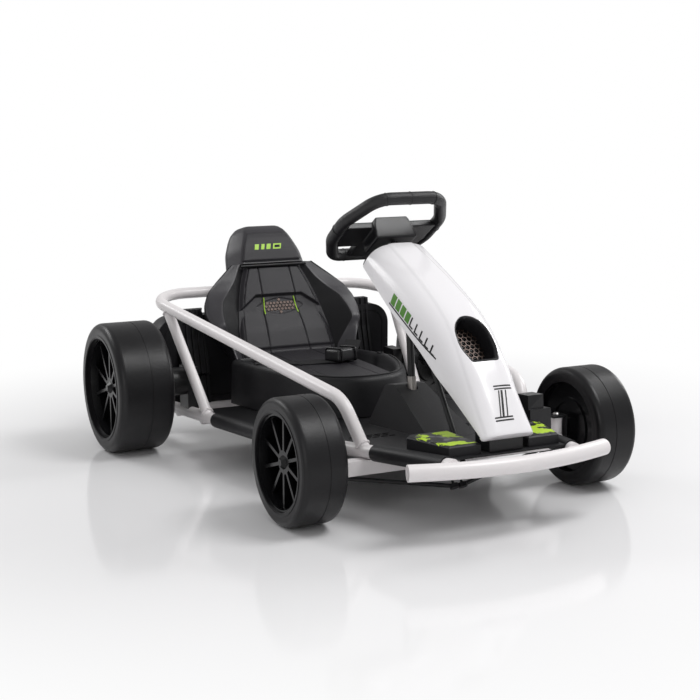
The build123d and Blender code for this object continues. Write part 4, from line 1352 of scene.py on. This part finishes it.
@dataclass
class Nose:
    """The white fairing with its intake, marks and foot rests."""

    kart: Kart
    # along the kart, crest height, half width and depth
    rows: tuple[tuple[float, ...], ...] = (
        (0.180, 0.4590, 0.0715, 0.046), (0.060, 0.4085, 0.0740, 0.066), (-0.045, 0.3530, 0.0730, 0.069),
        (-0.112, 0.2925, 0.0680, 0.060), (-0.160, 0.2335, 0.0595, 0.040), (-0.203, 0.1760, 0.0530, 0.017))
    wall: float = 3.0 * MM
    # powers of the section's outline: spacing across, squareness and fall at the foot
    skin_spacing: float = 0.75
    skin_square: float = 3.4
    skin_fall: float = 0.62
    ridge_rise: float = 1.6 * MM
    ridge_edge: float = 5 * MM
    ridge_half: tuple[Point2, ...] = ((0.0, 0.026), (0.6, 0.043), (1.0, 0.047))
    intake_origin: Point2 = (-0.103, 0.289)
    intake_slope: float = math.radians(46)
    # half of the intake's outline from its foot up: x, y and corner radius
    intake_half: tuple[Place3, ...] = ((0.027, -0.019, 0.007), (0.0375, 0.016, 0.014), (0.034, 0.058, 0.032),
                                       (0.012, 0.082, 0.016))
    # how far an inset moves each of those corners in x and in y
    intake_moves: tuple[Point2, ...] = ((-0.8, 1.4), (-1.0, 0.3), (-1.0, 0.0), (-0.3, -1.0))
    cell_pitch: float = 0.0098
    cell_wall: float = 0.0011
    cell_depth: float = 0.0030
    cell_front: float = -0.024
    # scale, reach ahead and drop of the foot of each ring that closes the tip
    tip_rows: tuple[Place3, ...] = ((1.0, 0.0, 0.0), (0.995, 0.003, 0.0), (0.97, 0.0055, 0.6),
                                    (0.90, 0.007, 1.8), (0.70, 0.0073, 3.5))
    # inset and reach back of each ring of the collar, in millimetres
    collar_rows: tuple[Point2, ...] = ((4.5, -4), (3.4, 1), (3.4, 7), (5.0, 9.5), (8.0, 9.5), (9.5, 7),
                                       (9.5, -4))
    # x and width of the bars at the nose, and height and shift of the lines above and below them
    bars: tuple[Point2, ...] = ((-0.012, 0.0024), (-0.0062, 0.0042), (0.002, 0.0024))
    bar_ends: tuple[Point2, ...] = ((-0.0530, 0.0), (-0.0475, 0.0), (0.0055, 0.018), (0.011, 0.018))
    nose_mark: Point2 = (-0.160, 0.232)
    nose_slope: float = math.radians(50)
    # the flank's row of bars: where it starts, how far it runs back down, its sag, its height and loss of it
    flank_count: int = 9
    flank_green: int = 4
    flank_start: Point2 = (0.088, 0.362)
    flank_run: Point2 = (0.150, 0.070)
    flank_sag: float = 0.012
    flank_tall: Point2 = (0.018, 0.004)
    flank_line: tuple[Point2, ...] = ((0.092, 0.363), (-0.064, 0.283), (-0.064, 0.280), (0.092, 0.360))
    rest_corners: tuple[Point2, ...] = ((54, -183), (106, -183), (130, -152), (130, -102), (112, -87),
                                        (54, -87))

    def station(self, t: float) -> tuple[float, ...]:
        """The row's values on a smooth curve.

        Args:
            t: Share from the wheel to the tip.

        Returns:
            Place along the kart, crest height, half width and depth.
        """
        place = t * (len(self.rows) - 1)
        k = min(int(place), len(self.rows) - 2)
        u = place - k
        before, first = self.rows[max(k - 1, 0)], self.rows[k]
        second, after = self.rows[k + 1], self.rows[min(k + 2, len(self.rows) - 1)]
        return tuple(0.5 * (2 * p1 + (p2 - p0) * u + (2 * p0 - 5 * p1 + 4 * p2 - p3) * u * u
                            + (3 * p1 - p0 - 3 * p2 + p3) * u ** 3)
                     for p0, p1, p2, p3 in zip(before, first, second, after))

    def frame_at(self, t: float) -> tuple[Vector, Vector]:
        """The crest and the way that it faces.

        Args:
            t: Share from the wheel to the tip.

        Returns:
            The crest's point and its outward normal.
        """
        y, z = self.station(t)[:2]
        y0, z0 = self.station(max(0.0, t - 0.02))[:2]
        y1, z1 = self.station(min(1.0, t + 0.02))[:2]
        run = Vector((0, y1 - y0, z1 - z0)).normalized()
        return self.kart.at(0, y, z), Vector((0, run.z, -run.y))

    def skin_point(self, t: float, angle: float, inset: float = 0.0) -> Vector:
        """A point of the skin.

        Args:
            t: Share from the wheel to the tip.
            angle: From -90 degrees at the right foot over the crest to 90 degrees at the left one.
            inset: How far inside the skin.

        Returns:
            The point.
        """
        crest, normal = self.frame_at(t)
        half, depth = self.station(t)[2:]
        u = math.copysign(abs(math.sin(angle)) ** self.skin_spacing, angle)
        share = 1 - (1 - min(1.0, abs(u)) ** self.skin_square) ** self.skin_fall
        ridge = along(self.ridge_half, t)
        inward = ridge + self.ridge_edge / 2 - abs(u) * half
        raised = self.ridge_rise * soft_step(inward / self.ridge_edge)
        down = share * depth - raised + inset * (1 - share)
        return crest + Vector((u * (half - inset), 0, 0)) - normal * down

    def build_skin(self) -> bpy.types.Object:
        """The fairing's skin as a closed thin wall.

        Returns:
            The skin.
        """
        steps = 96
        angles = [math.radians(-90 + 180 * j / steps) for j in range(steps + 1)]
        rings = [[self.skin_point(k / steps, a) for a in angles]
                 + [self.skin_point(k / steps, a, self.wall) for a in reversed(angles)]
                 for k in range(steps + 1)]
        skin = self.kart.loft("fairing_skin", rings, BODY_WHITE)
        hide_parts("fairing")
        return skin

    def build_tip(self) -> None:
        """The rounded lip that closes the tip."""
        rings = []
        crest, normal = self.frame_at(1.0)
        run = Vector((0, normal.z, -normal.y)) * -1
        centre = crest - normal * 0.009
        edge = [self.skin_point(1.0, math.radians(-90 + 180 * j / 48)) for j in range(49)]
        for share, ahead, drop in self.tip_rows:
            under = normal * (0.0185 + 0.0006 * drop)
            flat = [Vector((point.x, crest.y, crest.z)) - under for point in reversed(edge)]
            rings.append([centre + (point - centre) * share + run * ahead for point in edge + flat])
        self.kart.loft("fairing_tip", rings, BODY_WHITE)

    def intake_frame(self) -> tuple[Vector, Vector, Vector]:
        """The plane of the intake.

        Returns:
            Its origin, upward direction and outward normal.
        """
        slope = self.intake_slope
        upward = Vector((0, math.cos(slope), math.sin(slope)))
        return self.kart.at(0, *self.intake_origin), upward, Vector((0, -math.sin(slope), math.cos(slope)))

    def intake_outline(self, inset: float) -> list[Point2]:
        """The intake's outline.

        Args:
            inset: How far inside the opening it runs.

        Returns:
            Its points, across and up the intake's plane.
        """
        half = [(x + inset * dx, y + inset * dy, radius)
                for (x, y, radius), (dx, dy) in zip(self.intake_half, self.intake_moves)]
        return rounded(half + [(-x, y, r) for x, y, r in reversed(half)], 8)

    def build_intake(self, skin: bpy.types.Object) -> None:
        """The hole in the skin, its frame, the honeycomb and a black sheet behind it as painted shade.

        Args:
            skin: The fairing's skin, which is cut.
        """
        kart = self.kart
        origin, upward, normal = self.intake_frame()
        surface = kart.surface_of(skin)

        def place(x: float, along_it: float, out: float) -> Vector:
            """A point from across, along and out of the intake's plane."""
            return origin + Vector((x, 0, 0)) + upward * along_it + normal * out

        def on_skin(x: float, along_it: float) -> float:
            """Height of the skin over the intake's plane."""
            hit, _, _, _ = surface.ray_cast(place(x, along_it, 0.08), -normal)
            return (hit - origin).dot(normal) if hit else 0.0

        cutter = kart.loft("intake_cutter", [[place(x, a, out) for x, a in self.intake_outline(0)]
                                             for out in (-0.045, 0.03)], PLASTIC)
        cut = skin.modifiers.new("intake", "BOOLEAN")
        cut.object = cutter
        cut.operation = "DIFFERENCE"
        cut.solver = "EXACT"
        kart.apply_modifiers(skin)
        skin.data.set_sharp_from_angle(angle=kart.crease)
        bpy.data.objects.remove(cutter)
        outer, inner = self.intake_outline(0.2 * MM), self.intake_outline(5.5 * MM)
        middle = self.intake_outline(2.4 * MM)
        level = [on_skin(x, a) for x, a in self.intake_outline(-1.5 * MM)]
        rings = [
            [place(x, a, -0.030) for x, a in outer],
            [place(x, a, h - 0.6 * MM) for (x, a), h in zip(outer, level)],
            [place(x, a, h + 0.9 * MM) for (x, a), h in zip(self.intake_outline(1.2 * MM), level)],
            [place(x, a, h + 0.6 * MM) for (x, a), h in zip(middle, level)],
            [place(x, a, h - 4 * MM) for (x, a), h in zip(inner, level)],
            [place(x, a, -0.029) for x, a in self.intake_outline(9.0 * MM)],
        ]
        frame = kart.loft("intake_surround", rings, PLASTIC_SATIN)
        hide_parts("intake_frame")
        self.build_cells(place)

    def build_cells(self, place: Callable[[float, float, float], Vector]) -> None:
        """The honeycomb of the intake and a black sheet behind it as painted shade.

        Args:
            place: Gives a point from across, along and out of the intake's plane.
        """
        pitch = self.cell_pitch
        outer, inner = pitch / math.sqrt(3), pitch / math.sqrt(3) - self.cell_wall
        front, rear = self.cell_front, self.cell_front - self.cell_depth
        outline = self.intake_outline(8.0 * MM)
        made = bmesh.new()
        for row in range(-3, 12):
            for column in range(-5, 6):
                x = pitch * (column + 0.5 * (row % 2))
                y = pitch * HEX_ROW * row
                if not inside(outline, x, y):
                    continue
                rings = [[made.verts.new(place(x + radius * math.sin(k * math.pi / 3),
                                               y + radius * math.cos(k * math.pi / 3), out))
                          for k in range(6)]
                         for radius, out in ((outer, rear), (outer, front), (inner, front), (inner, rear))]
                for first, second in zip(rings, rings[1:] + rings[:1]):
                    for k in range(6):
                        made.faces.new((first[k], first[(k + 1) % 6], second[(k + 1) % 6], second[k]))
        cells = self.kart.from_bmesh("intake_cells", made, COPPER)
        self.kart.shade(cells, False)
        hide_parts("intake_grille")
        # a black sheet behind the honeycomb: painted shade for the inside of the fairing
        shade_sheet_outline = self.intake_outline(3 * MM)
        dark = self.kart.loft("intake_shade_sheet", [[place(x, a, out) for x, a in shade_sheet_outline]
                                              for out in (-0.033, -0.0295)], MARK_BLACK)
        dark.data.set_sharp_from_angle(angle=math.radians(30))

    def build_trim(self) -> None:
        """The black collar between the fairing's top end and the wheel."""
        _, normal = self.frame_at(0.0)
        run = Vector((0, normal.z, -normal.y))
        made = bmesh.new()
        rows = [[made.verts.new(self.skin_point(0.0, math.radians(-88 + 176 * j / 60), inset * MM)
                                + run * back * MM) for j in range(61)]
                for inset, back in self.collar_rows]
        for low, high in zip(rows, rows[1:] + rows[:1]):
            for j in range(60):
                made.faces.new((low[j], low[j + 1], high[j + 1], high[j]))
        made.faces.new([row[0] for row in rows])
        made.faces.new([row[-1] for row in rows])
        trim = self.kart.from_bmesh("fairing_collar", made, PLASTIC_SATIN)
        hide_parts("fairing_trim")

    def build_marks(self, surface: BVHTree) -> None:
        """Plain bars on the nose and along its two flanks.

        Args:
            surface: The skin's surface before the intake is cut.
        """
        kart = self.kart
        slope = self.nose_slope
        upward = Vector((0, math.cos(slope), math.sin(slope)))
        outward = Vector((0, -math.sin(slope), math.cos(slope)))
        origin = kart.at(0, *self.nose_mark) + outward * 0.06
        front = Spot(origin, Vector((1, 0, 0)), upward, -outward)
        for k, (x, wide) in enumerate(self.bars):
            left, right = x - wide / 2, x + wide / 2
            outline = [(left, -0.046), (right, -0.046), (right + 0.014, 0.004), (left + 0.014, 0.004)]
            kart.sticker(f"nose_bar_{k}", outline, front, surface, MARK_BLACK, pitch=3 * MM)
        for k, (v, shift) in enumerate(self.bar_ends):
            outline = [(-0.024 + shift, v), (0.012 + shift, v), (0.0125 + shift, v + 0.0028),
                       (-0.0235 + shift, v + 0.0028)]
            kart.sticker(f"nose_foot_{k}", outline, front, surface, MARK_BLACK, pitch=3 * MM)
        for side in (-1, 1):
            self.build_flank(side, surface)

    def build_flank(self, side: int, surface: BVHTree) -> None:
        """The green bars, the black ticks and the line along one flank.

        Args:
            side: 1 for the left and -1 for the right.
            surface: The skin's surface before the intake is cut.
        """
        kart = self.kart
        name = side_name(side)
        press = Vector((-side, 0, 0))
        flank = Spot(kart.at(side * 0.16, 0, 0), Vector((0, 1, 0)), Vector((0, 0, 1)), press)
        for k in range(self.flank_count):
            t = k / self.flank_count
            y = self.flank_start[0] - self.flank_run[0] * t
            z = self.flank_start[1] - self.flank_run[1] * t - self.flank_sag * t * t
            tall = self.flank_tall[0] - self.flank_tall[1] * t
            finish, wide = (LEAF, 0.0135) if k < self.flank_green else (MARK_BLACK, 0.0035)
            end, drop = y - wide, z - wide * 0.5
            outline = [(y, z), (end, drop), (end - 0.004, drop + tall), (y - 0.004, z + tall)]
            kart.sticker(f"flank_mark_{name}_{k}", outline, flank, surface, finish, pitch=3 * MM)
            if k >= self.flank_green:
                cap = [(y, z), (y - 0.012, z - 0.006), (y - 0.0125, z - 0.003), (y, z + 0.003)]
                kart.sticker(f"flank_foot_{name}_{k}", cap, flank, surface, finish, pitch=3 * MM)
        kart.sticker(f"flank_line_{name}", self.flank_line, flank, surface, MARK_BLACK)

    def build_rest_marks(self) -> None:
        """A splashed pattern in lime and grey on the foot rests."""
        kart = self.kart
        surface = kart.surface_of(kart.frame["nodes"]["foot_rests"])
        down = kart.on_deck(0, 0, -1) - kart.on_deck(0, 0, 0)
        ahead = kart.on_deck(0, 1, 0) - kart.on_deck(0, 0, 0)
        for side in (-1, 1):
            spot = Spot(kart.on_deck(0, 0, 0.08), Vector((1, 0, 0)), ahead, down)
            outline = [(side * a * MM, b * MM) for a, b in self.rest_corners]
            kart.sticker(f"rest_mark_{side_name(side)}", outline, spot, surface, SPLASH, pitch=6 * MM)

    def build(self) -> None:
        """The whole nose."""
        kart = self.kart
        kart.dress_nodes(PLASTIC_SATIN, "nose_block", "pedal_box", "pedal")
        kart.dress_nodes(PLASTIC, "foot_rests")
        kart.soften_edges(1.2 * MM, "foot_rests", "pedal_box", "nose_block")
        skin = self.build_skin()
        surface = kart.surface_of(skin)
        self.build_intake(skin)
        self.build_tip()
        self.build_trim()
        self.build_marks(surface)
        self.build_rest_marks()
        LOG.info("nose")


@dataclass
class Steering:
    """The steering wheel, its shaft and the links to the front wheels."""

    kart: Kart
    centre: Point2 = (0.230, 0.488)
    tilt: float = math.radians(35)
    grip_radius: float = 12 * MM
    # x across, y towards the driver and direction of the grip at each joint of its cover
    joints: tuple[Place3, ...] = (
        (0.0, -102.0, 0.0), (50.0, -100.4, 14.0), (104.6, 5.0, 90.0), (52.0, 106.0, 180.0))
    post_foot: Point2 = (0.133, 0.195)
    post_heights: tuple[float, ...] = (0.150, 0.300, 0.432)
    post_lean: float = math.radians(6)

    def in_wheel(self, x: float, y: float, s: float) -> Vector:
        """A point in the steering wheel's own plane."""
        c, n = math.cos(self.tilt), math.sin(self.tilt)
        return self.kart.at(x, self.centre[0] + y * c + s * n, self.centre[1] - y * n + s * c)

    def build(self) -> None:
        """Finishes and the joints of the grip's cover."""
        kart = self.kart
        kart.dress_nodes(GRIP_SKIN, "steering_rim")
        kart.dress_nodes(DARK_STEEL, "steering_shaft", "tie_rod_left", "tie_rod_right")
        kart.moulded("hub_moulding", "steering_hub", 1.7 * MM, 9, PLASTIC_SATIN, "steering")
        foot, low = self.post_foot
        lean = math.tan(self.post_lean)
        line = [kart.at(0, foot + (z - low) * lean, z) for z in self.post_heights]
        post = kart.tube("post", line, 7 * MM, PLASTIC_SATIN, sides=28)
        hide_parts("steering_post")
        kart.dress_nodes(COLLAR, "post_collar")
        kart.dress_nodes(DARK_STEEL, "knuckle_left", "knuckle_right")
        kart.dress_nodes(STEEL, "kingpin_bolts")
        reach = self.grip_radius + 0.1 * MM
        for k, (x, y, turn) in enumerate(self.joints):
            for side in ((-1, 1) if x else (1,)):
                angle = math.radians(turn) * side
                ring = []
                for a in (2 * math.pi * j / 36 for j in range(36)):
                    out = reach * math.cos(a)
                    ring.append(self.in_wheel(side * x * MM - math.sin(angle) * out,
                                              y * MM + math.cos(angle) * out, reach * math.sin(a)))
                kart.tube(f"grip_joint_{k}_{side_name(side)}", ring, 0.7 * MM, MARK_BLACK, "steering",
                          closed=True, sides=6)
        LOG.info("steering")


@dataclass
class Chassis:
    """Painted tubes with their weld beads, the black floor and the drive."""

    kart: Kart
    bead: float = 2.1 * MM
    # x, y and bend radius of each point of a rail, from its rear end to its front one
    rail_line: tuple[Place3, ...] = ((0.255, 0.732, 0.0), (0.247, 0.280, 0.019), (0.174, 0.002, 0.002),
                                     (0.1222, -0.2185, 0.0))
    rail_radius: float = 12.5 * MM
    # radius and reach out of each ring of the black plug in the bumper's ends, painted shade for their open
    # bores
    bore_shade_rows: tuple[Point2, ...] = ((11.2 * MM, -3 * MM), (11.2 * MM, 0.25 * MM), (10.6 * MM, 0.5 * MM))
    hoop_foot: Point2 = (0.172, 0.0)
    hoop_knee: Place3 = (0.190, 0.054, 0.201)
    hoop_rear: Place3 = (0.288, 0.815, 0.300)
    strut_foot: Point2 = (0.252, 0.540)
    strut_top_y: float = 0.716

    def weld(self, name: str, centre: Vector, axis: Vector, radius: float, slant: float = 0.0) -> None:
        """A rippled bead round a tube's end.

        Args:
            name: The piece's name.
            centre: The middle of the bead.
            axis: The tube's direction there.
            radius: The tube's radius.
            slant: How far the bead runs along the tube over its width.
        """
        axis = axis.normalized()
        across = axis.cross(Vector((1, 0, 0))).normalized()
        over = axis.cross(across)
        ring = []
        for j in range(72):
            a = 2 * math.pi * j / 72
            wide = radius + 0.5 * MM + 0.35 * MM * math.sin(a * 24)
            ring.append(centre + across * wide * math.cos(a) + over * wide * math.sin(a)
                        + axis * slant * math.cos(2 * a))
        self.kart.tube(name, ring, self.bead, FRAME_PAINT, closed=True, sides=8)

    def build(self) -> None:
        """Finishes of the chassis and its welds."""
        kart = self.kart
        kart.dress_nodes(FRAME_PAINT, "bumper_tube", "rear_cross_tubes", "front_beam", "hoop_tube",
                         "hoop_struts")
        kart.dress_nodes(PLASTIC, "floor_tray", "steering_hump", "power_box", "drive_pod_left",
                         "drive_pod_right")
        kart.dress_nodes(DARK_STEEL, "axle_carriers", "rear_axles")
        kart.soften_edges(1.5 * MM, "power_box", "drive_pod_left", "drive_pod_right", "steering_hump")
        for side in (-1, 1):
            self.build_rail(side)
        self.build_bores()
        for side in (-1, 1):
            self.build_welds(side)
        LOG.info("chassis")

    def build_rail(self, side: int) -> None:
        """One lower rail with its bend.

        Args:
            side: 1 for the left and -1 for the right.
        """
        steps = 6
        line = rounded(self.rail_line, steps)[steps:-steps]
        path = [self.kart.on_deck(side * x, y, 0.0) for x, y in line]
        rail = self.kart.tube(f"rail_{side_name(side)}", path, self.rail_radius, FRAME_PAINT, sides=32)
        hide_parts(f"lower_rail_{side_name(side)}")

    def build_bores(self) -> None:
        """Black plugs in the bumper's ends, painted shade for their open bores."""
        for mount in self.kart.frame["record"]["mounts"]:
            outward = Vector(mount["axis"])
            end = Vector(mount["pos_m"])
            across = outward.orthogonal().normalized()
            over = outward.cross(across)
            rings = [[end + outward * out + (across * math.cos(a) + over * math.sin(a)) * radius
                      for a in (2 * math.pi * j / 40 for j in range(40))]
                     for radius, out in self.bore_shade_rows]
            self.kart.loft(f"{mount['name']}_bore_shade", rings, MARK_BLACK)

    def build_welds(self, side: int) -> None:
        """The beads where the hoop and its strut meet the tubes.

        Args:
            side: 1 for the left and -1 for the right.
        """
        kart, name = self.kart, side_name(side)
        foot = kart.on_deck(side * self.hoop_foot[0], self.hoop_foot[1], 0.0)
        knee = kart.at(side * self.hoop_knee[0], *self.hoop_knee[1:])
        rise = (knee - foot).normalized()
        self.weld(f"weld_hoop_{name}", foot + rise * 13 * MM, rise, 12 * MM, 1.5 * MM)
        bottom = kart.on_deck(side * self.strut_foot[0], self.strut_foot[1], 0.0)
        share = (self.strut_top_y - self.hoop_knee[1]) / (self.hoop_rear[1] - self.hoop_knee[1])
        top = knee.lerp(kart.at(side * self.hoop_rear[0], *self.hoop_rear[1:]), share)
        strut = (top - bottom).normalized()
        self.weld(f"weld_strut_foot_{name}", bottom + strut * 13.5 * MM, strut, 11 * MM, 2 * MM)
        self.weld(f"weld_strut_top_{name}", top - strut * 13.5 * MM, strut, 11 * MM, 2 * MM)


@dataclass
class Wheels:
    """Smooth tyres on black rims."""

    kart: Kart
    ring_shares: tuple[float, ...] = (0.20, 0.44, 0.80)

    def build(self) -> None:
        """Finishes of the four wheels."""
        kart = self.kart
        for end in ("front", "rear"):
            low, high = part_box(f"{end}_tyre_left")
            _, rim_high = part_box(f"{end}_rim_left")
            centre = ((low.y + high.y) / 2, (low.z + high.z) / 2)
            outer = high.z - centre[1]
            inner = rim_high.z - centre[1]
            rings = tuple(inner + share * (outer - inner) for share in self.ring_shares)
            rubber = Finish(f"{end}_rubber", "tyre_rubber", (0.0045, 0.0042, 0.005), (0.0085, 0.008, 0.0095),
                            0.34, Grain.RUBBER, specular=0.30, spread=0.12, wheel_centre=centre, rings=rings)
            for side in ("left", "right"):
                kart.dress_nodes(rubber, f"{end}_tyre_{side}")
                kart.dress_nodes(RIM_BLACK, f"{end}_rim_{side}")
        LOG.info("wheels")


@dataclass
class Studio:
    """Floor, lights and the camera at the photograph's place."""

    kart: Kart
    camera_place: Place3 = (-1.3296, -2.1680, 0.7293)
    yaw: float = math.radians(27.484)
    pitch: float = math.radians(-9.993)
    focal_pixels: float = 1427.34
    picture_pixels: float = 700.0
    sensor: float = 36.0
    aim: Place3 = (0, 0, 0.2)
    # name, place, width and height, and power in watts
    lamps: tuple[tuple[str, Place3, Point2, float], ...] = (
        ("key", (0.9, -1.1, 2.4), (1.1, 0.9), 34.0), ("side", (2.2, 0.3, 1.5), (0.7, 1.2), 18.0),
        ("rim", (-1.5, 1.9, 1.7), (1.2, 0.7), 16.0), ("front", (-2.0, -1.9, 1.1), (0.5, 1.0), 7.0))
    floor_half: float = 9.0
    floor_white: Point2 = (0.62, 1.45)
    fill: float = 0.52

    def build_floor(self) -> None:
        """A pale glossy floor that keeps the kart's shadow and is white farther away."""
        graph = Graph(bpy.data.materials.new("floor_white"))
        vector, axes = graph.place()
        tone = graph.mix(graph.noise(vector, 2.0), (0.87, 0.865, 0.875, 1), (0.885, 0.88, 0.89, 1))
        near = graph.node("ShaderNodeBsdfPrincipled", {}, {"Base Color": tone, "Roughness": 0.10})
        white = graph.node("ShaderNodeEmission", {}, {"Color": (1, 1, 1, 1), "Strength": 1.0})
        radius = (axes[0] * axes[0] + axes[1] * axes[1]).power(0.5)
        far = graph.node("ShaderNodeMapRange", {"interpolation_type": "SMOOTHSTEP"},
                         {0: radius, 1: self.floor_white[0], 2: self.floor_white[1], 3: 0.0, 4: 1.0})
        seen = graph.node("ShaderNodeLightPath", output="Is Camera Ray")
        glossy = graph.node("ShaderNodeLightPath", output="Is Glossy Ray")
        share = far * seen.maths("MAXIMUM", glossy)
        shader = graph.node("ShaderNodeMixShader", {}, {0: share, 1: near, 2: white})
        graph.node("ShaderNodeOutputMaterial", {}, {0: shader})
        mesh = bpy.data.meshes.new("floor")
        far_edge = self.floor_half
        corners = [(-far_edge, -far_edge, 0), (far_edge, -far_edge, 0), (far_edge, far_edge, 0),
                   (-far_edge, far_edge, 0)]
        mesh.from_pydata(corners, [], [(0, 1, 2, 3)])
        floor = bpy.data.objects.new("floor", mesh)
        floor.location.z = -0.0006
        mesh.materials.append(graph.owner)
        bpy.context.scene.collection.objects.link(floor)

    def light(self, name: str, place: Vector, aim: Vector, size: Point2, power: float) -> None:
        """A soft rectangular light.

        Args:
            name: Its name.
            place: Where it stands.
            aim: The point that it faces.
            size: Its width and height.
            power: Its power in watts.
        """
        data = bpy.data.lights.new(name, "AREA")
        data.shape = "RECTANGLE"
        data.size, data.size_y = size
        data.energy = power
        lamp = bpy.data.objects.new(name, data)
        lamp.location = place
        lamp.rotation_mode = "QUATERNION"
        lamp.rotation_quaternion = (aim - place).to_track_quat("-Z", "Y")
        bpy.context.scene.collection.objects.link(lamp)

    def build_world(self) -> None:
        """Soft light from all round, white where it is seen."""
        graph = Graph(bpy.data.worlds.new("studio"))
        bpy.context.scene.world = graph.owner
        seen = graph.node("ShaderNodeLightPath", output="Is Camera Ray")
        through = graph.node("ShaderNodeLightPath", output="Is Transmission Ray")
        strength = seen.maths("MAXIMUM", through) * (1 - self.fill) + self.fill
        background = graph.node("ShaderNodeBackground", {}, {0: (1, 1, 1, 1), 1: strength})
        graph.node("ShaderNodeOutputWorld", {}, {0: background})

    def build(self) -> None:
        """The whole studio."""
        scene = bpy.context.scene
        scene.view_settings.view_transform = "Standard"
        self.build_floor()
        self.build_world()
        for name, place, size, power in self.lamps:
            self.light(name, Vector(place), Vector(self.aim), size, power)
        data = bpy.data.cameras.new("camera")
        data.sensor_width = self.sensor
        data.lens = self.focal_pixels / self.picture_pixels * self.sensor
        camera = bpy.data.objects.new("camera", data)
        camera.location = self.kart.at(*self.camera_place)
        level = math.cos(self.pitch)
        ahead = Vector((math.sin(self.yaw) * level, math.cos(self.yaw) * level, math.sin(self.pitch)))
        camera.rotation_mode = "QUATERNION"
        camera.rotation_quaternion = ahead.to_track_quat("-Z", "Y")
        scene.collection.objects.link(camera)
        scene.camera = camera
        LOG.info("studio")


def main() -> None:
    """Build the kart's looks in order."""
    logging.basicConfig(level=logging.INFO, format="%(name)s: %(message)s")
    kart = Kart(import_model())
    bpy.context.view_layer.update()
    Chassis(kart).build()
    Wheels(kart).build()
    Nose(kart).build()
    Steering(kart).build()
    seat = Seat(kart)
    seat.build()
    Belt(kart, seat).build()
    Studio(kart).build()


if __name__ == "__main__":
    main()
